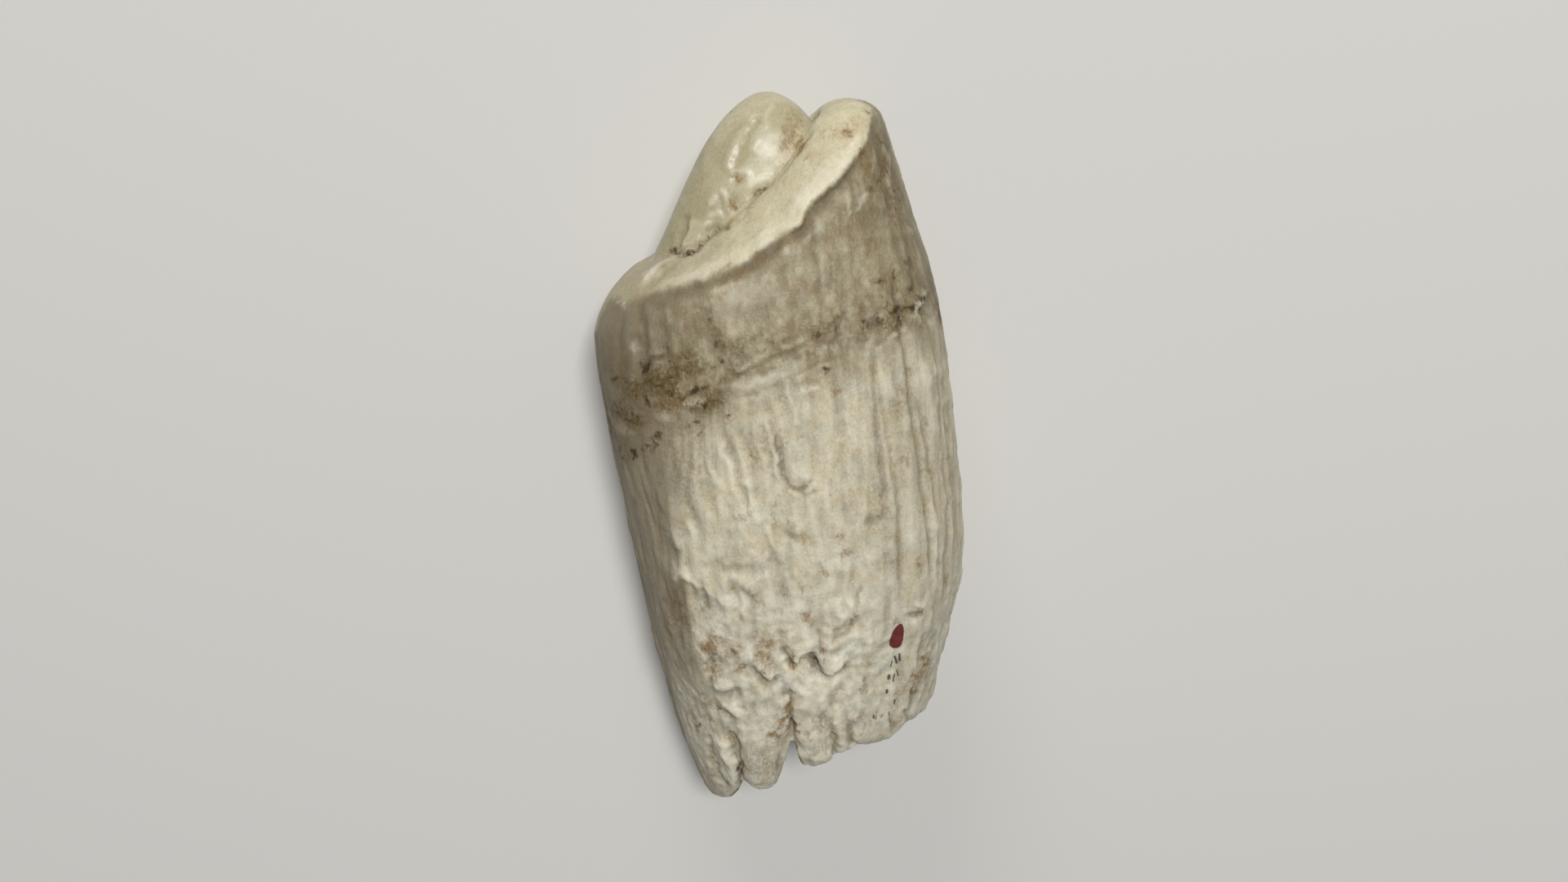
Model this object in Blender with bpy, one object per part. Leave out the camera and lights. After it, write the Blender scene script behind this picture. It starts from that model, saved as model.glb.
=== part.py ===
"""A sperm whale tooth, lying on its broad back.

The crown is worn down to a slope: a rounded ring of the outer tooth runs round a bare, polished core, with a
groove between them. The root end is open to the pulp cavity, and its thin wall is split into lobes.

Sizes are metres. +Y runs along the tooth towards its crown, +X across its broad way and +Z up, and the origin
lies under the middle of the tooth. The form is carved as shares of the driving sizes. An angle round the tooth
is in degrees: 0 is right, and 90 is the side that faces up as the tooth lies.
"""

import math
from typing import NamedTuple

import bmesh
import bpy
from mathutils import Vector, noise

# Driving sizes
LENGTH = 0.130  # from the lowest root lobe to the top of the core
WIDTH = 0.0615  # across the broad way, at the widest
DEPTH = 0.048  # across the thin way, at the thickest
FLAT_SPOT = 0.0008  # worn off the back, where the tooth lies
ROOT_WALL = 0.0046  # wall at the rim of the open root
CAVITY_DEPTH = 0.050  # from the lowest root lobe to the end of the pulp cavity
LUMP_HEIGHT = 0.0006  # of the broad unevenness of the sides
LUMP_WIDTH = 0.010  # from one lump to the next, round the tooth
LUMP_LENGTH = 0.030  # from one lump to the next, along the tooth

# Loops of the mesh, and points round each loop
COLUMNS = 92
CORE_LOOPS = 8
RING_LOOPS = 8
SIDE_LOOPS = 22
LIP_LOOPS = 4
CAVITY_LOOPS = 8
SIDE_CROWDING = 1.25  # above 1, the side's loops stand closer together near the crown


class Station(NamedTuple):
    """One section of the tooth before wear, as shares of LENGTH, WIDTH and DEPTH."""

    along: float
    half_width: float
    right: float
    half_depth: float
    up: float


STATIONS = (
    Station(-0.05, 0.287, -0.014, 0.285, 0.385),
    Station(0.00, 0.312, -0.015, 0.315, 0.400),
    Station(0.11, 0.376, -0.012, 0.375, 0.425),
    Station(0.23, 0.438, 0.003, 0.438, 0.458),
    Station(0.35, 0.480, 0.022, 0.479, 0.485),
    Station(0.48, 0.492, 0.010, 0.500, 0.500),
    Station(0.59, 0.497, -0.007, 0.500, 0.500),
    Station(0.71, 0.493, -0.020, 0.485, 0.496),
    Station(0.85, 0.434, -0.028, 0.438, 0.479),
    Station(0.95, 0.379, -0.022, 0.396, 0.469),
    Station(1.05, 0.320, -0.020, 0.350, 0.460),
)

# How square the sections are, by the angle: 2 is an ellipse, and more is squarer
SQUARENESS = (
    (0, 2.4),
    (45, 2.9),
    (90, 2.6),
    (135, 2.7),
    (180, 2.4),
    (225, 2.3),
    (315, 2.3),
)

# The worn face slopes up to the right. Places on it and heights above it are shares of WIDTH.
WEAR_SLOPE = math.radians(32)
WEAR_ALONG = 0.845  # share of LENGTH
WEAR_RIGHT = -0.075
RIM_HEIGHTS = (
    (0, -0.018),
    (25, -0.009),
    (50, -0.028),
    (70, -0.065),
    (90, -0.108),
    (105, -0.080),
    (125, -0.042),
    (150, -0.026),
    (180, -0.032),
    (215, -0.050),
    (250, -0.080),
    (290, -0.090),
    (325, -0.045),
)
RIM_STEPS = 12  # of the search for the place where the side meets the worn ring

# The ring between the rim and the groove. A roundness of 1 is an arc, and less is blunter.
RING_BULGES = (
    (0, 0.074),
    (45, 0.060),
    (90, 0.028),
    (135, 0.030),
    (180, 0.043),
    (225, 0.040),
    (270, 0.035),
    (320, 0.080),
)
RING_ROUNDNESS = (
    (0, 0.50),
    (45, 0.75),
    (90, 0.95),
    (140, 0.90),
    (180, 0.55),
    (225, 0.60),
    (270, 0.70),
    (315, 0.60),
)
GROOVE_MIDDLE = 0.020
GROOVE_HALF_LENGTH = 0.304
GROOVE_HALF_WIDTH = 0.155
GROOVE_HEIGHTS = (
    (0, 0.040),
    (30, 0.046),
    (60, 0.032),
    (90, 0.016),
    (110, 0.014),
    (135, 0.028),
    (180, 0.036),
    (225, 0.020),
    (270, 0.010),
    (315, 0.030),
)

# The core, which leans to the right. A fullness of 1 is a straight slope to the groove, and 2 is a round one.
CORE_TOP_ALONG = 0.186
CORE_TOP_HEIGHT = 0.238
CORE_TOP_ROUNDING = 0.12
CORE_FULLNESS = (
    (0, 2.50),
    (60, 2.20),
    (90, 2.00),
    (130, 1.40),
    (180, 1.03),
    (230, 1.35),
    (270, 2.00),
    (300, 2.20),
)

# Where the root ends, by the angle, as shares of LENGTH
ROOT_RIM = (
    (0, 0.112),
    (24, 0.112),
    (40, 0.117),
    (58, 0.098),
    (72, 0.098),
    (88, 0.080),
    (98, 0.056),
    (109, 0.034),
    (122, 0.046),
    (132, 0.030),
    (150, 0.002),
    (166, 0.004),
    (190, 0.045),
    (225, 0.096),
    (250, 0.085),
    (275, 0.104),
    (300, 0.090),
    (330, 0.112),
)

# How the pulp cavity narrows: a higher bulge keeps it wide for longer, and a lower point blunts its end
CAVITY_BULGE = 1.4
CAVITY_POINT = 0.8


class Notch(NamedTuple):
    """A split in the root's upper wall. Places across are shares of WIDTH, and those along of LENGTH."""

    right: float  # of its end
    along: float  # of its end
    end_radius: float
    mouth_right: float  # of the middle of its mouth
    mouth_width: float


NOTCHES = (
    Notch(-0.203, 0.125, 0.0035, -0.210, 0.034),
    Notch(-0.050, 0.136, 0.0050, -0.080, 0.180),
    Notch(0.066, 0.104, 0.0040, 0.068, 0.040),
    Notch(0.121, 0.113, 0.0040, 0.120, 0.050),
    Notch(0.247, 0.126, 0.0040, 0.249, 0.040),
)
NOTCH_MOUTH = -0.04  # share of LENGTH, past the lowest lobe
NOTCH_TOP = 1.2  # share of DEPTH, above the tooth
NOTCH_END_POINTS = 10


def curve_through(points, period=None):
    """A function that runs smoothly through (place, value) points, and repeats after any period."""
    points = list(points)
    if period:
        before = [(place - period, value) for place, value in points[-2:]]
        after = [(place + period, value) for place, value in points[:2]]
        points = before + points + after
    places, values = zip(*points)
    last = len(points) - 1

    def slope(i):
        low, high = max(i - 1, 0), min(i + 1, last)
        return (values[high] - values[low]) / (places[high] - places[low])

    def value(place):
        if period:
            place %= period
        i = 0
        while i < last - 1 and place > places[i + 1]:
            i += 1
        gap = places[i + 1] - places[i]
        t = (place - places[i]) / gap
        return (
            values[i] * (2 * t**3 - 3 * t**2 + 1)
            + values[i + 1] * (3 * t**2 - 2 * t**3)
            + slope(i) * gap * (t**3 - 2 * t**2 + t)
            + slope(i + 1) * gap * (t**3 - t**2)
        )

    return value


half_width = curve_through([(s.along, s.half_width) for s in STATIONS])
middle_right = curve_through([(s.along, s.right) for s in STATIONS])
half_depth = curve_through([(s.along, s.half_depth) for s in STATIONS])
middle_up = curve_through([(s.along, s.up) for s in STATIONS])
squareness = curve_through(SQUARENESS, 360)
rim_height = curve_through(RIM_HEIGHTS, 360)
ring_bulge = curve_through(RING_BULGES, 360)
ring_roundness = curve_through(RING_ROUNDNESS, 360)
groove_height = curve_through(GROOVE_HEIGHTS, 360)
core_fullness = curve_through(CORE_FULLNESS, 360)
root_rim = curve_through(ROOT_RIM, 360)


def mixed(a, b, share):
    """The point or number that lies that share of the way from a to b."""
    return a + (b - a) * share


def unit_section(angle):
    """The section's outline at an angle, where its half width and half depth are 1."""
    across = math.cos(math.radians(angle))
    up = math.sin(math.radians(angle))
    power = 2 / squareness(angle)
    return math.copysign(abs(across) ** power, across), math.copysign(abs(up) ** power, up)


def axis_point(y):
    """The middle of the section at y."""
    share = y / LENGTH
    return Vector((middle_right(share) * WIDTH, y, middle_up(share) * DEPTH))


def lump(point):
    """How far the uneven side stands out at a point."""
    place = Vector((point.x / LUMP_WIDTH, point.y / LUMP_LENGTH, point.z / LUMP_WIDTH))
    return LUMP_HEIGHT * noise.noise(place)


def inner_point(y, angle, inset):
    """A point of the smooth section at y that lies the inset in from the side."""
    share = y / LENGTH
    across, up = unit_section(angle)
    spread = Vector((
        (half_width(share) * WIDTH - inset) * across,
        0,
        (half_depth(share) * DEPTH - inset) * up,
    ))
    return axis_point(y) + spread


def side_point(y, angle):
    """A point of the tooth's uneven side at y."""
    across, up = unit_section(angle)
    smooth = inner_point(y, angle, 0)
    return smooth + Vector((across, 0, up)) * lump(smooth)


# The worn face: its middle, the way along it, and the way straight out of it
WEAR_MIDDLE = Vector((WEAR_RIGHT * WIDTH, WEAR_ALONG * LENGTH, middle_up(WEAR_ALONG) * DEPTH))
WEAR_WAY = Vector((math.cos(WEAR_SLOPE), math.sin(WEAR_SLOPE), 0))
WEAR_OUT = Vector((-math.sin(WEAR_SLOPE), math.cos(WEAR_SLOPE), 0))


def worn_point(along, up, height):
    """A point by its place on the worn face and its height above it, as shares of WIDTH."""
    return WEAR_MIDDLE + (WEAR_WAY * along + Vector((0, 0, up)) + WEAR_OUT * height) * WIDTH


def rim_point(angle):
    """The side's point that has the rim's height above the worn face, where the side meets the ring."""
    y = WEAR_ALONG * LENGTH
    for _ in range(RIM_STEPS):
        right = side_point(y, angle).x - WEAR_MIDDLE.x
        height = rim_height(angle) * WIDTH
        y = WEAR_MIDDLE.y + (height + right * math.sin(WEAR_SLOPE)) / math.cos(WEAR_SLOPE)
    return side_point(y, angle)


def groove_point(angle):
    """The bottom of the groove between the ring and the core."""
    across, up = unit_section(angle)
    along = GROOVE_MIDDLE + GROOVE_HALF_LENGTH * across
    return worn_point(along, GROOVE_HALF_WIDTH * up, groove_height(angle))


def core_point(angle, share):
    """A point of the core, from its top at share 0 to the groove at share 1."""
    top = worn_point(CORE_TOP_ALONG, 0, CORE_TOP_HEIGHT)
    foot = groove_point(angle)
    reach = math.sin(share * math.pi / 2)
    blunt = math.hypot(reach, CORE_TOP_ROUNDING) - CORE_TOP_ROUNDING
    blunt /= math.hypot(1, CORE_TOP_ROUNDING) - CORE_TOP_ROUNDING
    fullness = core_fullness(angle)
    fallen = 1 - (1 - min(blunt, 1) ** fullness) ** (1 / fullness)
    drop = WEAR_OUT * (foot - top).dot(WEAR_OUT)
    return top + (foot - top - drop) * reach + drop * fallen


def ring_point(angle, share):
    """A point of the worn ring, from the groove at share 0 to the rim at share 1."""
    rise = (4 * share * (1 - share)) ** ring_roundness(angle)
    return mixed(groove_point(angle), rim_point(angle), share) + WEAR_OUT * ring_bulge(angle) * WIDTH * rise


def lip_point(angle, turn):
    """A point of the root's rounded lip, from the outside at turn 0 to the inside at turn pi."""
    y = root_rim(angle) * LENGTH + ROOT_WALL / 2 * (1 - math.sin(turn))
    return mixed(side_point(y, angle), inner_point(y, angle, ROOT_WALL), (1 - math.cos(turn)) / 2)


def cavity_point(angle, share):
    """A point of the pulp cavity's wall, from the lip at share 0 to the cavity's end at share 1."""
    start = lip_point(angle, math.pi)
    middle = mixed(axis_point(start.y), axis_point(CAVITY_DEPTH), share)
    width_left = (1 - share**CAVITY_BULGE) ** CAVITY_POINT
    return middle + (start - axis_point(start.y)) * width_left


def side_loop_point(angle, share):
    """A point of the side, from the rim at share 0 to the root's lip at share 1."""
    return side_point(mixed(rim_point(angle).y, lip_point(angle, 0).y, share**SIDE_CROWDING), angle)


def surface_loops():
    """The surface as loops, each a function of the angle, from the core's top to the pulp cavity's end."""
    loops = [lambda angle, i=i: core_point(angle, i / CORE_LOOPS) for i in range(CORE_LOOPS)]
    loops += [
        lambda angle, i=i: ring_point(angle, math.sin(i / RING_LOOPS * math.pi / 2)) for i in range(RING_LOOPS)
    ]
    loops += [lambda angle, i=i: side_loop_point(angle, i / SIDE_LOOPS) for i in range(SIDE_LOOPS)]
    loops += [lambda angle, i=i: lip_point(angle, i / LIP_LOOPS * math.pi) for i in range(LIP_LOOPS)]
    loops += [lambda angle, i=i: cavity_point(angle, i / CAVITY_LOOPS) for i in range(CAVITY_LOOPS + 1)]
    return loops


def shaped_ball():
    """A ball whose loops are moved to the tooth's, with poles at the core's top and the pulp cavity's end."""
    loops = surface_loops()
    steps = len(loops) - 1
    mesh = bmesh.new()
    bmesh.ops.create_uvsphere(mesh, u_segments=COLUMNS, v_segments=steps, radius=1)
    for vertex in mesh.verts:
        place = vertex.co.normalized()
        loop = loops[round(place.angle((0, 0, 1)) / math.pi * steps)]
        angle = math.degrees(math.atan2(place.y, place.x)) % 360
        vertex.co = loop(angle)
    return mesh


def cut_flat_spot(mesh):
    """Slices the back off at FLAT_SPOT above its lowest point, and lays that cut at z = 0."""
    height = min(v.co.z for v in mesh.verts) + FLAT_SPOT
    bmesh.ops.bisect_plane(
        mesh,
        geom=mesh.verts[:] + mesh.edges[:] + mesh.faces[:],
        plane_co=(0, 0, height),
        plane_no=(0, 0, 1),
        clear_inner=True,
    )
    bmesh.ops.contextual_create(mesh, geom=[e for e in mesh.edges if e.is_boundary])
    bmesh.ops.translate(mesh, verts=mesh.verts, vec=(0, 0, -height))


def middle_of(mesh):
    """The middle of the mesh's box across X and Y, on the floor."""
    xs = [v.co.x for v in mesh.verts]
    ys = [v.co.y for v in mesh.verts]
    return Vector(((min(xs) + max(xs)) / 2, (min(ys) + max(ys)) / 2, 0))


def notch_cutter(number, notch, origin):
    """A wedge with a round end that cuts one notch through the upper wall of the root."""
    mesh = bmesh.new()
    end = Vector((notch.right * WIDTH, notch.along * LENGTH, 0)) - origin
    mouth = Vector((notch.mouth_right * WIDTH, NOTCH_MOUTH * LENGTH, 0)) - origin
    half_mouth = Vector((notch.mouth_width * WIDTH / 2, 0, 0))
    for height in (axis_point(0).z, NOTCH_TOP * DEPTH):
        lift = Vector((0, 0, height))
        for i in range(NOTCH_END_POINTS + 1):
            turn = math.pi * i / NOTCH_END_POINTS
            from_end = Vector((math.cos(turn), math.sin(turn) - 1, 0)) * notch.end_radius * WIDTH
            mesh.verts.new(end + from_end + lift)
        mesh.verts.new(mouth - half_mouth + lift)
        mesh.verts.new(mouth + half_mouth + lift)
    bmesh.ops.convex_hull(mesh, input=mesh.verts)
    cutter = new_object(f"notch_cutter_{number}", mesh)
    cutter.hide_render = True
    cutter.display_type = "WIRE"
    return cutter


def new_object(name, mesh):
    """Turns a bmesh into an object in the scene."""
    bmesh.ops.recalc_face_normals(mesh, faces=mesh.faces)
    data = bpy.data.meshes.new(name)
    mesh.to_mesh(data)
    mesh.free()
    made = bpy.data.objects.new(name, data)
    bpy.context.scene.collection.objects.link(made)
    return made


def ivory():
    """Old tooth: a warm grey white, neither matt nor glossy."""
    material = bpy.data.materials.new("ivory")
    material.use_nodes = True
    shader = material.node_tree.nodes["Principled BSDF"]
    shader.inputs["Base Color"].default_value = (0.55, 0.50, 0.40, 1)
    shader.inputs["Roughness"].default_value = 0.5
    shader.inputs["Metallic"].default_value = 0
    return material


def tooth():
    """The whole tooth, with its root notched."""
    mesh = shaped_ball()
    cut_flat_spot(mesh)
    origin = middle_of(mesh)
    bmesh.ops.translate(mesh, verts=mesh.verts, vec=-origin)
    made = new_object("tooth", mesh)
    made.data.materials.append(ivory())
    for number, notch in enumerate(NOTCHES, start=1):
        cut = made.modifiers.new(f"notch_{number}", "BOOLEAN")
        cut.operation = "DIFFERENCE"
        cut.solver = "EXACT"
        cut.object = notch_cutter(number, notch, origin)
    made.data.shade_smooth()
    return made


def main():
    """Clears the scene and builds the tooth."""
    for old in list(bpy.data.objects):
        bpy.data.objects.remove(old)
    tooth()


main()
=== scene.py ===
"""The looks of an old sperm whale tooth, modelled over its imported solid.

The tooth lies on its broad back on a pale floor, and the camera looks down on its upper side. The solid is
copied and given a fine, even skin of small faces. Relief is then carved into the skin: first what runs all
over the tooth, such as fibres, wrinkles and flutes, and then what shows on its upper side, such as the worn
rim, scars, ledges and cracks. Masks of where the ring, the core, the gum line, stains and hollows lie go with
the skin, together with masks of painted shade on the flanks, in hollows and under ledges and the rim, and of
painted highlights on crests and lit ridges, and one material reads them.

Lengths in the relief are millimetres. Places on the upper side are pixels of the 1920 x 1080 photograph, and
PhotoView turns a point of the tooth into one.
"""

import itertools
import logging
import math
from dataclasses import dataclass, field
from enum import Enum
from typing import Any, Sequence

import bmesh
import bpy
import numpy as np
from mathutils import Matrix, Vector


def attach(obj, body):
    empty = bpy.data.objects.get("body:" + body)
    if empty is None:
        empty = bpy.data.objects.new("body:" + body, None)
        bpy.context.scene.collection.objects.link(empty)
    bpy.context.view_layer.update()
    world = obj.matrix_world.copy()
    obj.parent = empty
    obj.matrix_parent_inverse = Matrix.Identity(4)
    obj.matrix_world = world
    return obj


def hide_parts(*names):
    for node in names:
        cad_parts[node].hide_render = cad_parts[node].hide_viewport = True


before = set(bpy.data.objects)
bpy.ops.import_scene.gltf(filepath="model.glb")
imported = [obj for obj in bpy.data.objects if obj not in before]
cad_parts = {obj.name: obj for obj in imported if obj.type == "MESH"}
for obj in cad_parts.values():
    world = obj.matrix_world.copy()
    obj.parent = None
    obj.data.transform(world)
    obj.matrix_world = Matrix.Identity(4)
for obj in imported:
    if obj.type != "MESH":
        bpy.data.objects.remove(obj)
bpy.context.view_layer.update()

NODE = "tooth"
BODY = "root"
MM = 0.001

Pixel = tuple[float, float]
Numbers = np.ndarray

log = logging.getLogger("tooth")


def smooth_step(low: float, high: float, value: Numbers) -> Numbers:
    """Rises smoothly from 0 at low to 1 at high.

    Args:
        low: where the rise starts.
        high: where the rise ends.
        value: the numbers to look up.

    Returns:
        Shares between 0 and 1.
    """
    share = np.clip((value - low) / (high - low), 0, 1)
    return share * share * (3 - 2 * share)


def lattice_noise(points: Numbers) -> Numbers:
    """Smooth noise of one size: a random slope at each whole-number place, blended in between.

    Args:
        points: places, one row each, with one lump to each unit.

    Returns:
        One number for each point, mostly between -0.5 and 0.5.
    """
    low = np.floor(points).astype(np.int64)
    part = (points - low).T
    bend = part**3 * (part * (part * 6 - 15) + 10)
    total = np.zeros(len(points))
    for corner in itertools.product((0, 1), repeat=3):
        number = (low + np.array(corner)) @ np.array((73856093, 19349663, 83492791))
        number = ((number ^ (number >> 15)) * 2246822519) & 0xFFFFFFFF
        number = ((number ^ (number >> 13)) * 3266489917) & 0xFFFFFFFF
        number ^= number >> 16
        slope = np.zeros(len(points))
        share = np.ones(len(points))
        for axis, end in enumerate(corner):
            steepness = ((number >> (10 * axis)) & 1023) / 511.5 - 1
            slope += steepness * (part[axis] - end)
            share *= bend[axis] if end else 1 - bend[axis]
        total += share * slope
    return total * 1.45


def grain(points: Numbers, size: float | Sequence[float], seed: float = 0.0, octaves: int = 1) -> Numbers:
    """Smooth noise at each point.

    Args:
        points: places in millimetres, one row each.
        size: from one lump to the next, in millimetres, all ways alike or along X, Y and Z.
        seed: shifts the pattern.
        octaves: how many sizes are added, each half the one before.

    Returns:
        One number for each point, mostly between -0.5 and 0.5.
    """
    total = np.zeros(len(points))
    scaled = points / np.asarray(size) + seed
    weight = 1.0
    for _ in range(octaves):
        total += weight * lattice_noise(scaled)
        scaled = scaled * 2.03 + 11.7
        weight *= 0.5
    return total


def shake(points: Numbers, size: float, seeds: tuple[float, float], octaves: int = 2) -> Numbers:
    """Noise across and down the photograph, which makes what is drawn there ragged.

    Args:
        points: places in millimetres, one row each.
        size: from one lump to the next, in millimetres.
        seeds: the pattern across and the pattern down.
        octaves: how many sizes are added.

    Returns:
        Two numbers for each point, mostly between -0.5 and 0.5.
    """
    return np.stack([grain(points, size, seed, octaves) for seed in seeds], axis=1)


def put_in_scene(name: str, data: Any) -> bpy.types.Object:
    """Makes an object of a mesh, light or camera, and puts it in the scene."""
    made = bpy.data.objects.new(name, data)
    bpy.context.scene.collection.objects.link(made)
    return made


@dataclass(frozen=True)
class PhotoView:
    """The photograph's camera, as it looks down on the lying tooth.

    Attributes:
        width: of the photograph, in pixels.
        height: of the photograph, in pixels.
        upright_view: the angle that the photograph's height spans, in degrees.
        tilt: how far the camera leans over to the crown's side, in degrees.
        roll: how far the tooth's length turns to the left at the top of the picture, in degrees.
        scale: pixels a millimetre at the target.
        target: the point in the middle of the picture, in millimetres.
        sensor: the camera's sensor width, in millimetres.
        clip: the nearest and the farthest place that the camera shows, in metres.
    """

    width: int = 1920
    height: int = 1080
    upright_view: float = 30.0
    tilt: float = 15.0
    roll: float = 5.0
    scale: float = 6.8
    target: tuple[float, float, float] = (0.24, 3.33, 24.0)
    sensor: float = 36.0
    clip: tuple[float, float] = (0.01, 10.0)

    @property
    def focal(self) -> float:
        """The focal length in pixels."""
        return self.height / 2 / math.tan(math.radians(self.upright_view / 2))

    @property
    def axes(self) -> tuple[Numbers, Numbers, Numbers]:
        """The picture's way right, its way up, and the way it looks."""
        lean, turn = math.radians(self.tilt), math.radians(self.roll)
        ahead = np.array([0.0, -math.sin(lean), -math.cos(lean)])
        level = np.array([1.0, 0.0, 0.0])
        rise = np.array([0.0, math.cos(lean), -math.sin(lean)])
        right = math.cos(turn) * level - math.sin(turn) * rise
        up = math.sin(turn) * level + math.cos(turn) * rise
        return right, up, ahead

    @property
    def eye(self) -> Numbers:
        """Where the camera stands, in millimetres."""
        return np.array(self.target) - self.axes[2] * self.focal / self.scale

    def pixels(self, points: Numbers) -> Numbers:
        """Where points show in the photograph.

        Args:
            points: places in millimetres, one row each.

        Returns:
            Their pixels, one row each.
        """
        right, up, ahead = self.axes
        from_eye = points - self.eye
        depth = from_eye @ ahead
        across = self.width / 2 + self.focal * (from_eye @ right) / depth
        down = self.height / 2 - self.focal * (from_eye @ up) / depth
        return np.stack([across, down], axis=1)

    def seen(self, points: Numbers, normals: Numbers) -> Numbers:
        """How squarely each point faces the camera: 1 is square on, and 0 or less is turned away."""
        to_eye = self.eye - points
        to_eye /= np.linalg.norm(to_eye, axis=1)[:, None]
        return (normals * to_eye).sum(axis=1)

    def make_camera(self) -> bpy.types.Object:
        """Makes the scene's camera.

        Returns:
            The camera, which is also set as the scene's.
        """
        data = bpy.data.cameras.new("photo_camera")
        data.sensor_width = self.sensor
        data.lens = self.focal * self.sensor / self.width
        data.clip_start, data.clip_end = self.clip
        camera = put_in_scene("photo_camera", data)
        right, up, ahead = (Vector(axis) for axis in self.axes)
        turn = Matrix((right, up, -ahead)).transposed().to_4x4()
        camera.matrix_world = Matrix.Translation(Vector(self.eye) * MM) @ turn
        bpy.context.scene.camera = camera
        return camera


class Form(Enum):
    """What a stroke does to the surface."""

    GROOVE = "a line pressed in"
    RIDGE = "a line that stands out"
    LEDGE = "a step that drops on the right-hand side of the line's way"


def nearest_on(line: Sequence[Pixel], places: Numbers) -> tuple[Numbers, Numbers, Numbers]:
    """Measures places against a line.

    Args:
        line: the pixels that it runs through.
        places: pixels, one row each.

    Returns:
        The distance to the line, the signed distance that is positive on the right of the line's way, and the
        share of the line's length at the nearest point.
    """
    knots = np.array(line)
    lengths = np.linalg.norm(np.diff(knots, axis=0), axis=1)
    starts = np.concatenate([[0], np.cumsum(lengths)])
    best = np.full(len(places), np.inf)
    side = np.zeros(len(places))
    share = np.zeros(len(places))
    for start, end, length, run in zip(knots, knots[1:], lengths, starts):
        way = (end - start) / length
        offset = places - start
        along = np.clip(offset @ way, 0, length)
        gap = offset - along[:, None] * way
        distance = np.hypot(gap[:, 0], gap[:, 1])
        nearer = distance < best
        best[nearer] = distance[nearer]
        cross = way[0] * offset[:, 1] - way[1] * offset[:, 0]
        side[nearer] = np.sign(cross[nearer])
        share[nearer] = ((run + along) / starts[-1])[nearer]
    return best, best * side, share


@dataclass(frozen=True)
class Stroke:
    """A line of relief on the upper side.

    Attributes:
        form: what it does to the surface.
        line: the pixels that it runs through.
        width: its half width in pixels, or that of a ledge's drop.
        height: how far it stands out or is pressed in, in millimetres.
        fade: how far a ledge's upper side runs back, in pixels.
        dirt_and_shade: how much dirt and painted shade lies in it; a ridge, and a ledge's brink, take it as
            painted highlight.
    """

    form: Form
    line: tuple[Pixel, ...]
    width: float
    height: float
    fade: float = 30.0
    dirt_and_shade: float = 0.5

    def carve(self, places: Numbers) -> tuple[Numbers, Numbers]:
        """Works out the stroke's relief.

        Args:
            places: pixels, one row each.

        Returns:
            How far each place stands out in millimetres, and the dirt that lies there.
        """
        distance, signed, share = nearest_on(self.line, places)
        ends = smooth_step(0, 0.15, share) * smooth_step(0, 0.15, 1 - share) * 0.8 + 0.2
        line = np.exp(-((distance / self.width) ** 2))
        if self.form is Form.GROOVE:
            # A groove takes dirt and painted shade.
            return -self.height * line * ends, self.dirt_and_shade * line * ends
        if self.form is Form.RIDGE:
            # A ridge takes painted highlight instead of dirt.
            return self.height * line * ends, -self.dirt_and_shade * line * ends
        ends = smooth_step(0, 0.22, share) * smooth_step(0, 0.22, 1 - share)
        high = np.exp(-((distance / self.fade) ** 2))
        low = -1.1 * np.exp(-((distance / (self.fade * 0.8)) ** 2))
        drop = smooth_step(-self.width, self.width, signed)
        step = (high * (1 - drop) + low * drop) * ends
        # The foot below a ledge's drop takes dirt and painted shadow, and its brink a painted highlight.
        shadow_foot = np.exp(-(((signed - self.width) / (1.5 * self.width)) ** 2))
        lit_brink = np.exp(-(((signed + 1.3 * self.width) / (1.2 * self.width)) ** 2))
        return self.height * step, self.dirt_and_shade * (shadow_foot - 0.5 * lit_brink) * ends


def groove(width: float, height: float, dirt_and_shade: float, *line: Pixel) -> Stroke:
    """A line pressed in. Its width is in pixels and its height in millimetres, as for the other forms."""
    return Stroke(Form.GROOVE, line, width, height, dirt_and_shade=dirt_and_shade)


def ridge(width: float, height: float, dirt_and_shade: float, *line: Pixel) -> Stroke:
    """A line that stands out."""
    return Stroke(Form.RIDGE, line, width, height, dirt_and_shade=dirt_and_shade)


def ledge(width: float, height: float, fade: float, dirt_and_shade: float, *line: Pixel) -> Stroke:
    """A step that drops on the right-hand side of the line's way."""
    return Stroke(Form.LEDGE, line, width, height, fade, dirt_and_shade)


@dataclass(frozen=True)
class Spot:
    """A round or long mark on the upper side.

    Attributes:
        at: its middle, in pixels.
        size: its half length and half width, in pixels.
        turn: how far its length turns from level, clockwise, in degrees.
        amount: how strong it is.
    """

    at: Pixel
    size: tuple[float, float]
    turn: float = 0.0
    amount: float = 1.0

    def spread(self, places: Numbers) -> Numbers:
        """The spot's strength at each place."""
        offset = places - np.array(self.at)
        turn = math.radians(self.turn)
        along = offset @ np.array([math.cos(turn), math.sin(turn)]) / self.size[0]
        across = offset @ np.array([-math.sin(turn), math.cos(turn)]) / self.size[1]
        return self.amount * np.exp(-(along**2 + across**2))


def spots(*rows: tuple[float, ...]) -> tuple[Spot, ...]:
    """Makes spots of rows: across, down, half length, half width, turn and amount."""
    return tuple(Spot(row[:2], row[2:4], *row[4:]) for row in rows)


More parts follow.
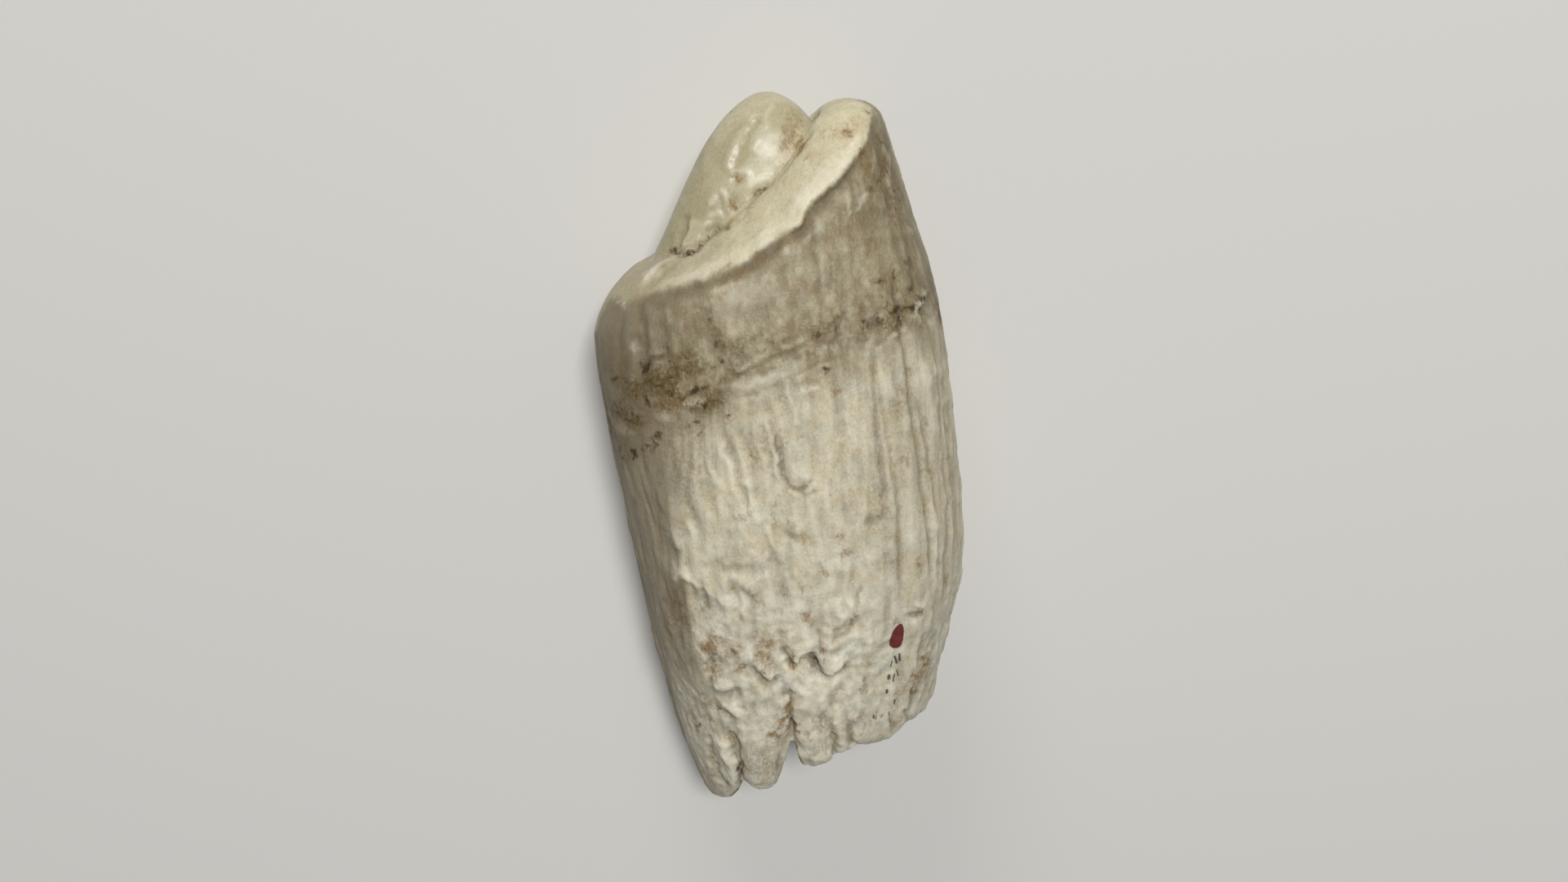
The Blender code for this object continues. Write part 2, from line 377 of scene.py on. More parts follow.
RIM_LINE = (
    (763, 374), (800, 360), (843, 347), (862, 342), (880, 334), (906, 325), (926, 311), (943, 298),
    (966, 286), (982, 272), (989, 256), (1002, 241), (1021, 225), (1040, 208), (1052, 191), (1062, 170),
    (1066, 148), (1068, 136),
)
RIM_START = ((716, 380), (732, 370), (748, 364), (757, 368))
RIM_END = ((1068, 126), (1066, 108))
# Lower down, the left flank's painted shade ends at this line.
FLANK_LINE = (
    (801, 520), (806, 560), (808, 610), (812, 648), (830, 674), (840, 710), (846, 760), (851, 800),
    (866, 830), (877, 852), (890, 870), (903, 886), (890, 898), (868, 902), (871, 930), (887, 968),
    (892, 990),
)
WORN_STROKES = (
    ledge(4.4, 0.36, 15, 0.55, *RIM_LINE),
    # A soft groove under the rim, whose dirt value paints the shadow beneath the rim's edge.
    groove(7, 0.22, 0.35, *((x + 4, y + 9) for x, y in RIM_LINE[1:-2])),
    # The ridge along the ring's bright band near the rim carries a painted highlight.
    ridge(8, 0.28, 0.28, (838, 336), (880, 320), (930, 296), (962, 272), (985, 244), (1010, 222), (1034, 198),
        (1048, 172)),
    groove(9, 0.14, 0.12, (840, 322), (890, 302), (935, 270), (965, 240), (1000, 200), (1025, 172)),
    # The groove between the core and the ring, and the fold beside it
    groove(3.4, 1.0, 0.9, (812, 316), (823, 307), (832, 310), (845, 308), (853, 303), (858, 297)),
    groove(2.8, 0.8, 0.8, (854, 300), (866, 289), (876, 281), (888, 277), (894, 272)),
    groove(4.5, 0.30, 0.25, (893, 272), (907, 262), (916, 248), (932, 232), (948, 217), (962, 202),
        (976, 186), (985, 170), (994, 152)),
    ledge(3.0, 0.50, 13, 0.5, (850, 264), (845, 276), (840, 292), (832, 308)),
    groove(4, 0.22, 0.4, (836, 276), (831, 290), (825, 303)),
    groove(2.5, 0.22, 0.4, (822, 284), (820, 302)),
    ridge(7, 0.30, 0.1, (866, 270), (860, 284), (848, 300)),
    ridge(5, 0.40, 0.5, (785, 349), (795, 338), (808, 325), (820, 313), (830, 309)),
    groove(3.5, 0.22, 0.35, (790, 354), (802, 342), (814, 330), (828, 320)),
    # Long facets of the core
    ridge(7, 0.34, 0.1, (928, 132), (918, 148), (906, 168), (895, 190), (886, 212)),
    groove(6, 0.18, 0.05, (936, 140), (922, 160), (908, 186), (899, 204)),
    ridge(8, 0.30, 0.1, (948, 122), (936, 148), (924, 172), (914, 190)),
    ridge(6, 0.24, 0.1, (896, 136), (880, 162), (866, 188), (856, 212)),
    groove(9, 0.24, 0.25, (862, 160), (850, 190), (838, 222), (828, 250)),
    groove(3, 0.10, 0.3, (893, 160), (905, 156), (920, 153), (934, 154)),
    # The pitted patch at the core's foot
    ridge(3.2, 0.15, 0.4, (894, 215), (899, 209), (908, 207), (914, 212), (917, 220), (914, 228)),
    ridge(3.6, 0.16, 0.7, (917, 234), (921, 226), (930, 221), (944, 216)),
    groove(2.8, 0.23, 0.9, (920, 241), (930, 236), (941, 226)),
    ridge(2.8, 0.13, 0.5, (886, 230), (888, 240), (888, 250)),
    ridge(4, 0.13, 0.6, (868, 254), (873, 246), (879, 237)),
    ridge(3.5, 0.13, 0.5, (894, 262), (903, 262), (911, 254)),
    ridge(3, 0.10, 0.4, (893, 246), (900, 250), (906, 250)),
    groove(3, 0.12, 0.3, (882, 240), (884, 256), (890, 266)),
    ridge(4, 0.10, 0.4, (866, 266), (876, 262), (888, 266)),
)
SIDE_STROKES = (
    groove(2.6, 0.12, 0.3, (992, 266), (996, 300), (1003, 340), (1006, 410)),
    groove(2.6, 0.12, 0.3, (1040, 208), (1044, 240), (1047, 270)),
    ridge(3, 0.12, 0.4, (1066, 236), (1056, 246), (1048, 258), (1038, 262)),
    groove(3.5, 0.22, 0.4, (1070, 150), (1080, 200), (1090, 262), (1100, 320)),
    groove(4, 0.20, 0.3, (1080, 150), (1092, 205), (1104, 270), (1112, 320)),
    ridge(5, 0.20, 0.3, (1075, 148), (1086, 200), (1098, 262)),
    groove(8, 0.42, 0.5, (782, 366), (785, 400), (788, 440), (790, 490)),
    groove(7, 0.34, 0.5, (802, 362), (808, 390), (813, 420), (818, 450)),
    ridge(6, 0.10, 0.15, (771, 396), (775, 430), (777, 474)),
    ridge(8, 0.14, 0.1, (798, 400), (802, 430), (812, 474)),
    groove(4, 0.14, 0.25, (760, 384), (759, 420), (762, 466)),
    groove(8, 0.22, 0.45, (862, 370), (868, 395), (876, 420), (880, 440)),
    groove(3.0, 0.32, 1.2, (786, 456), (791, 448), (799, 443), (814, 440)),
    groove(2.5, 0.10, 0.3, (965, 372), (970, 390), (971, 410)),
    groove(3, 0.16, 0.4, (1058, 372), (1060, 400), (1064, 424)),
    groove(3, 0.28, 0.8, (1092, 340), (1098, 372), (1104, 420)),
    groove(3, 0.24, 0.8, (1112, 316), (1117, 340), (1120, 360)),
    ledge(3.2, -0.35, 14, -0.5, (1136, 352), (1132, 366), (1126, 380), (1128, 400)),
    groove(3, 0.16, 0.6, (1066, 424), (1078, 416), (1092, 406), (1104, 398)),
)
GUM_LINE = (
    (812, 508), (840, 496), (872, 485), (900, 474), (934, 467), (957, 454), (980, 443), (1001, 431),
    (1030, 424), (1060, 426), (1085, 414), (1106, 404), (1124, 396),
)
GUM_STROKES = (
    ridge(5, 0.06, 0.3, *GUM_LINE[:3]),
    ridge(4, 0.06, 0.3, *GUM_LINE[3:6]),
    ridge(4, 0.05, 0.2, *GUM_LINE[6:9]),
    groove(3, 0.12, 0.35, (870, 474), (900, 462), (930, 448), (960, 434), (990, 420)),
    ridge(3, 0.06, 0.15, (886, 462), (920, 446), (955, 428), (990, 410)),
    groove(3, 0.12, 0.3, (900, 486), (930, 480), (960, 466), (1000, 446), (1040, 436)),
    ridge(4, 0.08, 0.1, (906, 494), (930, 488), (960, 482), (976, 480)),
    ridge(3, 0.20, 0.5, (1092, 412), (1102, 405), (1114, 399)),
    ridge(4, 0.08, 0.3, (748, 528), (777, 529), (792, 523)),
    ledge(3, -0.14, 10, -0.35, (980, 482), (982, 474), (992, 471), (1006, 471)),
    ridge(4, 0.16, 0.3, (958, 480), (968, 490), (975, 506), (979, 522)),
)
ROOT_STROKES = (
    # The tongue-shaped scar and the folds beside it
    groove(2.4, 0.55, 1.1, (944, 520), (948, 540), (952, 556), (957, 572), (962, 587), (969, 597), (977, 601),
        (983, 603), (988, 597), (994, 589), (997, 578)),
    groove(2.4, 0.28, 0.5, (981, 605), (987, 608), (994, 605), (999, 599)),
    ridge(9, 0.34, 0.3, (968, 540), (972, 560), (979, 580), (982, 592)),
    ridge(3.4, 0.45, 0.6, (937, 508), (941, 530), (946, 552), (951, 573), (960, 594)),
    groove(3.4, 0.22, 0.3, (931, 515), (936, 538), (940, 560), (943, 580)),
    ridge(4, 0.30, 0.35, (922, 518), (926, 538), (932, 560), (937, 578)),
    groove(5, 0.28, 0.35, (904, 522), (914, 545), (919, 570), (926, 590), (930, 618)),
    ridge(4.5, 0.40, 0.4, (912, 582), (917, 597), (920, 616), (925, 632), (931, 646)),
    ridge(5.5, 0.40, 0.4, (881, 536), (886, 553), (893, 572), (899, 590), (897, 610)),
    groove(4, 0.28, 0.35, (886, 528), (895, 552), (903, 575), (909, 600), (911, 622)),
    ridge(4, 0.24, 0.25, (866, 556), (869, 576), (879, 593), (888, 604)),
    groove(4, 0.24, 0.3, (863, 556), (864, 577), (870, 597), (875, 614)),
    groove(4, 0.24, 0.3, (837, 590), (839, 608), (844, 627), (850, 644)),
    ridge(6, 0.20, 0.15, (843, 566), (848, 600), (854, 636)),
    ridge(6, 0.22, 0.2, (826, 600), (833, 628), (842, 652)),
    ridge(10, 0.24, 0.15, (870, 626), (874, 650), (876, 674)),
    ridge(5, 0.28, 0.3, (914, 650), (919, 666), (923, 684)),
    groove(3.6, 0.28, 0.35, (936, 652), (941, 668), (948, 686)),
    ridge(4, 0.26, 0.25, (940, 644), (946, 662), (953, 680)),
    groove(3.6, 0.28, 0.35, (962, 648), (967, 660), (975, 665), (983, 656)),
    ridge(6, 0.24, 0.2, (968, 630), (974, 645), (976, 656)),
    ridge(8, 0.14, 0.12, (1002, 480), (1006, 540), (1012, 600), (1014, 640)),
    groove(7, 0.12, 0.15, (1022, 480), (1030, 540), (1036, 600)),
    ledge(4.9, 0.16, 12, 0.14, (1054, 632), (1062, 637), (1072, 636), (1078, 628)),
    # The edge of the left facet
    ledge(7, 0.34, 22, 0.11, (808, 548), (807, 580), (808, 610), (811, 640), (820, 658), (832, 678),
        (839, 700)),
    groove(5, 0.12, 0.2, (790, 600), (797, 660), (806, 720)),
    # Ledges and hollows of the lower root
    ledge(7, 0.2, 13, 0.16, (845, 696), (857, 690), (868, 687), (884, 687), (897, 694), (915, 692),
        (935, 691), (946, 688), (957, 693)),
    ledge(8, 0.26, 18, 0.23, (820, 718), (829, 716), (841, 711), (858, 720), (870, 732), (879, 745),
        (884, 760)),
    ridge(3.6, 0.36, 0.55, (825, 684), (829, 700), (831, 714)),
    ridge(3, 0.28, 0.5, (838, 702), (850, 712), (863, 722), (874, 736)),
    ridge(6, 0.30, 0.3, (884, 696), (886, 716), (890, 744), (892, 764)),
    ridge(3.6, 0.40, 0.6, (895, 697), (899, 710), (906, 727), (911, 742), (912, 762)),
    ledge(4.1, 0.36, 12, 0.27, (902, 706), (905, 718), (912, 725), (921, 728), (931, 726)),
    ridge(8, 0.22, 0.15, (936, 700), (942, 724), (948, 748)),
    groove(5, 0.30, 0.35, (926, 730), (922, 752), (922, 780), (924, 806)),
    ledge(3.2, 0.85, 12, 0.45, (923, 806), (926, 820), (931, 829), (938, 834), (945, 832), (953, 826)),
    ridge(4.5, 0.40, 0.5, (951, 796), (958, 808), (964, 822), (962, 838)),
    groove(4.5, 0.34, 0.35, (957, 770), (956, 786), (962, 800)),
    ledge(3.0, 1.0, 12, 0.45, (960, 792), (965, 805), (970, 812), (977, 811), (982, 805), (990, 802),
        (998, 802)),
    ledge(3.2, 0.95, 13, 0.36, (998, 802), (1002, 809), (1006, 820), (1012, 827), (1019, 825), (1028, 820),
        (1036, 808)),
    ridge(3, 0.36, 0.5, (974, 819), (984, 813), (992, 817), (1002, 828)),
    ridge(6, 0.34, 0.3, (966, 774), (970, 788), (976, 800)),
    ridge(5, 0.38, 0.4, (1010, 768), (1015, 780), (1013, 796)),
    groove(3.6, 0.28, 0.5, (1001, 770), (1003, 786), (1008, 802)),
    groove(3, 0.34, 0.6, (1052, 718), (1051, 734), (1048, 748)),
    groove(2.8, 0.40, 0.7, (1049, 758), (1043, 766), (1036, 775), (1024, 782), (1014, 784)),
    groove(2.8, 0.24, 0.5, (1018, 772), (1025, 774), (1034, 764)),
    ridge(4, 0.28, 0.3, (1024, 732), (1030, 744), (1028, 756)),
    groove(3, 0.22, 0.35, (1014, 812), (1024, 800), (1034, 790), (1046, 784)),
    ridge(3.4, 0.24, 0.3, (1008, 806), (1016, 796), (1028, 784)),
    ledge(5, 0.45, 13, 0.36, (874, 830), (876, 843), (880, 850), (890, 850), (905, 846), (914, 844)),
    ridge(3.6, 0.46, 0.7, (879, 858), (889, 861), (899, 867), (905, 873), (907, 884)),
    groove(4.5, 0.30, 0.4, (878, 868), (888, 872), (898, 880), (906, 892)),
    groove(3.6, 0.26, 0.4, (907, 866), (915, 870), (922, 868)),
    groove(2.6, 0.40, 0.9, (956, 853), (963, 852), (972, 847)),
    groove(3.2, 0.75, 0.9, (963, 840), (966, 852), (968, 862), (966, 874), (967, 886), (971, 900)),
    ridge(5.5, 0.40, 0.5, (975, 838), (985, 849), (990, 860), (984, 872)),
    ridge(4.5, 0.36, 0.45, (1038, 820), (1024, 834), (1010, 850), (1000, 862)),
    groove(4, 0.30, 0.35, (1036, 834), (1025, 850), (1015, 866), (1006, 884)),
    ridge(4, 0.26, 0.3, (996, 830), (990, 842), (994, 856)),
    groove(5, 0.20, 0.25, (926, 850), (922, 870), (912, 892)),
    # Lobes of the root's edge
    ridge(5.5, 1.0, 0.6, (880, 902), (887, 916), (893, 934), (899, 952), (898, 968)),
    groove(3.4, 0.60, 0.6, (868, 896), (869, 920), (876, 942), (886, 958), (891, 970)),
    groove(3.8, 1.40, 1.3, (892, 892), (899, 912), (904, 932), (907, 950), (907, 968)),
    ridge(13, 0.8, 0.1, (920, 898), (924, 925), (928, 962)),
    ridge(12, 0.5, 0.1, (990, 896), (996, 912), (1000, 930)),
    groove(5, 0.8, 0.2, (971, 884), (964, 906), (957, 926), (955, 948)),
    groove(2.6, 0.30, 0.6, (952, 914), (958, 901), (967, 892)),
    groove(4.0, 1.70, 0.9, (968, 882), (970, 896), (971, 920)),
    groove(4, 0.35, 0.2, (971, 884), (976, 904), (979, 920)),
    groove(2.8, 1.3, 0.4, (1019, 896), (1021, 912), (1022, 934)),
    groove(3.6, 0.35, 0.4, (1017, 876), (1018, 890), (1020, 906)),
    groove(3.0, 1.3, 0.4, (1039, 890), (1042, 906), (1045, 928)),
    groove(4.5, 0.40, 0.4, (1034, 866), (1038, 880), (1041, 896)),
    ridge(8, 0.8, 0.0, (990, 930), (1000, 932), (1010, 926), (1020, 918)),
    ridge(4.5, 0.3, 0.0, (1026, 912), (1032, 915), (1037, 912)),
    ridge(5, 0.35, 0.3, (1024, 884), (1028, 900), (1030, 916)),
    groove(2.4, 0.9, 0.35, (1092, 880), (1094, 890), (1096, 912)),
    groove(2.4, 0.9, 0.35, (1109, 868), (1111, 880), (1114, 902)),
    ridge(7, 0.30, 0.1, (850, 868), (858, 900), (868, 934), (878, 962)),
    groove(5, 0.22, 0.3, (830, 800), (842, 850), (856, 890), (866, 920)),
)
FLUTE_STROKES = (
    groove(3.4, 0.41, 0.56, (1068, 430), (1070, 470), (1073, 504), (1077, 542), (1082, 580), (1084, 624)),
    groove(3.0, 0.41, 0.56, (1072, 456), (1079, 490), (1085, 520), (1090, 552), (1096, 590), (1101, 624),
        (1101, 660), (1103, 700), (1102, 746)),
    groove(3.4, 0.54, 0.64, (1104, 398), (1107, 424), (1112, 452), (1116, 490), (1121, 526), (1127, 560),
        (1129, 592), (1135, 626), (1139, 660), (1141, 700), (1139, 716), (1129, 734)),
    groove(4, 0.24, 0.32, (1092, 430), (1098, 470), (1102, 510), (1106, 548)),
    groove(3.4, 0.38, 0.56, (1122, 480), (1130, 520), (1138, 556), (1144, 600), (1148, 640)),
    groove(3.4, 0.54, 0.56, (1136, 400), (1143, 424), (1149, 452), (1153, 500), (1158, 560), (1163, 620),
        (1161, 700), (1154, 768)),
    groove(3, 0.35, 0.48, (1146, 420), (1156, 460), (1161, 520), (1168, 580), (1172, 640), (1168, 700)),
    groove(3.4, 0.35, 0.48, (1148, 640), (1151, 690), (1148, 740), (1138, 790)),
    ridge(6, 0.36, 0.35, (1128, 436), (1134, 462), (1140, 500), (1146, 540)),
    ridge(7, 0.24, 0.2, (1112, 548), (1114, 580), (1118, 620)),
    ridge(5, 0.22, 0.24, (1090, 600), (1092, 650), (1092, 700)),
    ridge(5, 0.35, 0.48, (1140, 610), (1146, 646), (1147, 690)),
    groove(3, 0.41, 1.12, (1115, 757), (1122, 754), (1130, 752)),
    ridge(4, 0.35, 0.56, (1120, 738), (1130, 744), (1134, 736)),
    groove(5, 0.22, 0.24, (1088, 700), (1086, 760), (1078, 820), (1068, 880)),
    groove(4, 0.38, 0.56, (1134, 770), (1126, 810), (1120, 850), (1114, 876)),
    groove(4.5, 0.30, 0.40, (1062, 796), (1060, 840), (1056, 886)),
    groove(4, 0.32, 0.40, (1148, 768), (1138, 820), (1130, 866)),
)
PITS = spots(
    (904, 219, 6, 5, 0, 0.32), (898, 249, 5, 7, 0, 0.32), (1037, 160, 6, 5, 0, 0.28),
    (986, 194, 3.5, 3, 0, 0.30), (1063, 134, 4.5, 3, 30, 0.35), (1056, 186, 4, 5, 0, 0.20),
    (1064, 206, 3, 6, 0, 0.25), (1068, 230, 3.5, 4, 0, 0.30), (858, 738, 22, 12, 42, 0.45),
    (848, 760, 10, 14, 20, 0.20), (996, 810, 12, 7, 35, 0.95), (968, 804, 5, 9, -25, 0.45),
    (932, 826, 7, 5, 40, 0.40), (890, 848, 16, 3.4, -6, 0.35), (884, 872, 20, 6, 22, 0.35),
    (960, 846, 5, 8, 0, 0.30), (912, 720, 9, 5, 40, 0.35), (972, 660, 8, 5, 0, 0.25),
    (948, 688, 10, 4, 10, 0.25), (1068, 640, 8, 5, 0, 0.30), (1046, 636, 4, 10, 30, 0.20),
    (1118, 756, 7, 3.4, -20, 0.40), (1028, 772, 10, 5, -20, 0.25), (973, 818, 9, 5, 0, 0.35),
    (939, 838, 11, 5, 0, 0.30), (918, 578, 6, 11, 0, 0.22), (892, 545, 5, 9, 0, 0.20),
    (900, 880, 8, 6, 30, 0.22), (1066, 634, 10, 5, 0, 0.15),
)
KNOBS = spots(
    (1034, 756, 6, 6, 0, 0.45), (1040, 742, 5, 6, 0, 0.30), (985, 780, 13, 14, 0, 0.36),
    (939, 797, 12, 24, 0, 0.42), (918, 712, 13, 9, 0, 0.28), (893, 834, 17, 11, 0, 0.34),
    (868, 790, 14, 16, 0, 0.22), (1005, 868, 7, 8, 0, 0.28), (1123, 280, 6, 12, 80, 0.30),
    (1158, 452, 8, 16, 80, 0.40), (1165, 490, 6, 12, 80, 0.30), (1175, 608, 8, 22, 85, 0.40),
    (930, 925, 16, 26, 0, 0.35), (1000, 900, 16, 22, 0, 0.35), (1132, 462, 8, 18, 0, 0.25),
    (812, 512, 8, 7, 0, 0.20), (850, 494, 16, 6, -20, 0.16),
)
# Most spots are dark marks of the tooth. Some are painted shade: (905, 944) darkens the slit between the
# lobes, and (999, 812), (971, 808) and (998, 811) the undercut's wall.
DARK_SPOTS = spots(
    (850, 479, 10, 4.5, -35, 1.0), (864, 473, 6, 3, -30, 0.6), (838, 485, 7, 4, -30, 0.6),
    (864, 497, 6, 2.8, -65, 0.9), (852, 517, 8, 3, -35, 0.9), (841, 525, 5, 3, -35, 0.8),
    (890, 508, 6, 3.4, -62, 0.75), (880, 516, 6, 3, -35, 0.45), (856, 531, 10, 3, -25, 0.5),
    (825, 478, 8, 11, 0, 0.55), (792, 468, 10, 14, 0, 0.45), (789, 449, 7, 4, -40, 0.9),
    (760, 500, 12, 14, 0, 0.35), (780, 511, 9, 4, -10, 0.65), (806, 534, 9, 6, -10, 0.75),
    (800, 545, 5, 8, 0, 0.6), (791, 546, 4, 5, 0, 0.8), (776, 557, 3.6, 10, 0, 1.0),
    (757, 553, 3.6, 9, 0, 0.8), (763, 566, 4, 9, 0, 0.75), (769, 562, 3, 8, 0, 0.5),
    (832, 545, 4, 3, 0, 0.4), (752, 464, 4, 5, 0, 0.8), (766, 463, 4, 4, 0, 0.5), (815, 428, 4, 8, 0, 0.6),
    (817, 440, 4, 3, 0, 0.6), (872, 448, 9, 3, -15, 0.6), (887, 442, 6, 3, -25, 0.6),
    (899, 455, 5, 4, -50, 0.65), (907, 428, 10, 5, -20, 0.4), (902, 437, 4, 3, 0, 0.4),
    (876, 421, 4, 6, 0, 0.6), (857, 401, 6, 2.5, 0, 0.5), (868, 386, 8, 14, 0, 0.32),
    (1001, 412, 10, 6, -15, 0.65), (1024, 403, 6, 8, 0, 0.55), (1013, 453, 7, 4, 0, 0.85),
    (1036, 451, 4, 3, 0, 0.5), (1074, 344, 10, 4, -5, 0.7), (1096, 334, 3, 6, 20, 0.9),
    (1113, 320, 5, 4, -45, 0.6), (1117, 354, 4, 8, 0, 0.8), (1128, 366, 7, 4, 0, 0.9),
    (1096, 380, 6, 5, -20, 0.8), (1112, 378, 10, 4, -10, 0.95), (1126, 376, 3, 9, 0, 1.0),
    (1082, 374, 4, 4, 0, 0.4), (1078, 393, 5, 6, 0, 0.7), (1084, 402, 8, 5, 10, 0.6),
    (1056, 393, 5, 7, 30, 0.65), (1074, 410, 8, 4, 0, 0.45), (1103, 390, 2.4, 12, 0, 0.8),
    (1032, 380, 4, 3, 0, 0.4), (1073, 878, 3, 5, 20, 0.9), (905, 944, 3, 18, -4, 0.8),
    (999, 812, 8, 3.4, 50, 0.5), (971, 808, 3, 7, -30, 0.5), (854, 886, 3.4, 3.4, 0, 1.0),
    (872, 882, 2.6, 2.6, 0, 0.6), (880, 868, 2.6, 2.6, 0, 0.7), (972, 886, 3.4, 7, 0, 0.9),
    (824, 307, 5, 3.4, 0, 1.0), (843, 308, 9, 3, -8, 1.0), (856, 298, 2.6, 3, 0, 1.0),
    (866, 289, 5, 2, -42, 0.9), (880, 279, 8, 2, -20, 0.9), (894, 136, 5, 2, -50, 0.7),
    (986, 194, 3.4, 2.6, 0, 0.8), (1063, 134, 4, 2.4, 30, 0.9), (931, 234, 9, 2, -38, 0.7),
    (1054, 199, 3, 5, 0, 0.5), (1060, 192, 3, 4, 0, 0.5), (1067, 231, 3, 4, 0, 0.7),
    (953, 548, 3, 5, 30, 0.5), (998, 811, 5, 9, -28, 0.35), (943, 257, 4, 4, 0, 0.3),
)
# Most spots are rust. Those along the rim's underside, (900, 350), (926, 313), (890, 324) and the row from
# (905, 332) to (1038, 216), are painted shadow beneath the rim's edge.
RUST_AND_SHADE_SPOTS = spots(
    (865, 788, 9, 6, 0, 1.0), (872, 800, 6, 6, 0, 0.6), (879, 784, 6, 7, 0, 0.6), (901, 797, 6, 5, 0, 1.0),
    (868, 818, 8, 7, 0, 0.6), (966, 168, 11, 28, 20, 0.55), (870, 792, 18, 14, 0, 0.55),
    (938, 796, 11, 26, 0, 0.50), (902, 798, 8, 8, 0, 0.60), (874, 816, 10, 16, 0, 0.50),
    (1128, 826, 7, 26, 14, 0.50), (960, 880, 8, 22, 20, 0.60), (872, 828, 4, 6, 0, 0.6),
    (906, 818, 3.4, 7, 0, 0.6), (888, 806, 7, 6, 0, 0.45), (843, 758, 6, 6, 0, 0.5),
    (824, 756, 8, 5, 0, 0.4), (832, 782, 5, 10, 0, 0.45), (818, 770, 8, 26, -12, 0.3),
    (938, 790, 13, 24, 0, 0.32), (966, 866, 3, 16, 8, 0.8), (958, 884, 4, 12, 32, 0.9),
    (949, 900, 7, 6, 0, 0.7), (974, 892, 4, 8, 0, 0.8), (966, 794, 5, 7, 0, 0.55),
    (1008, 796, 5, 12, 0, 0.5), (970, 812, 4, 4, 0, 0.6), (1134, 810, 4, 8, 0, 0.8),
    (1124, 830, 5, 6, 30, 0.7), (1119, 848, 4, 8, 0, 0.9), (1059, 838, 3.4, 16, 8, 0.45),
    (1078, 876, 8, 3, 0, 0.5), (1040, 886, 7, 5, 0, 0.35), (1037, 160, 9, 8, 0, 0.6),
    (1014, 162, 14, 8, -20, 0.3), (904, 221, 9, 8, 0, 0.6), (899, 250, 6, 8, 0, 1.0),
    (980, 176, 6, 14, 28, 0.75), (972, 140, 5, 9, 20, 0.35), (900, 350, 46, 9, -22, 0.28),
    (926, 313, 7, 6, 0, 0.6), (890, 324, 9, 4, -25, 0.45), (1060, 200, 7, 20, -10, 0.35),
    (1057, 186, 4, 4, 0, 0.7), (1064, 210, 3, 6, 0, 0.6), (1067, 231, 4, 5, 0, 0.8),
    (1036, 216, 4, 5, 0, 0.5), (920, 256, 3, 3, 0, 0.6), (784, 400, 8, 26, 0, 0.15),
    (850, 880, 6, 24, -16, 0.35), (868, 946, 8, 14, -20, 0.3), (1030, 656, 6, 6, 0, 0.5),
    (1036, 680, 10, 7, 0, 0.5), (1008, 700, 4, 12, 0, 0.5), (983, 722, 5, 5, 0, 0.5),
    (985, 755, 8, 8, 0, 0.3), (1026, 482, 6, 9, 0, 0.35), (1036, 518, 6, 6, 0, 0.35),
    (958, 546, 6, 5, 0, 0.4), (1003, 415, 14, 10, 0, 0.4), (830, 490, 34, 16, -20, 0.30),
    # Painted shadow beneath the rim's edge.
    (905, 332, 18, 5, -24, 0.45), (932, 318, 14, 6, -32, 0.45), (960, 298, 14, 5, -36, 0.45),
    (986, 274, 12, 5, -45, 0.40), (1016, 240, 12, 4, -42, 0.35), (1038, 216, 8, 5, -45, 0.40),
    (1096, 230, 6, 30, -14, 0.30), (1104, 268, 8, 20, -14, 0.30), (868, 806, 14, 26, -10, 0.30),
    (1010, 890, 14, 16, 0, 0.22), (1056, 880, 10, 18, 0, 0.22), (1100, 860, 8, 22, 10, 0.22),
)
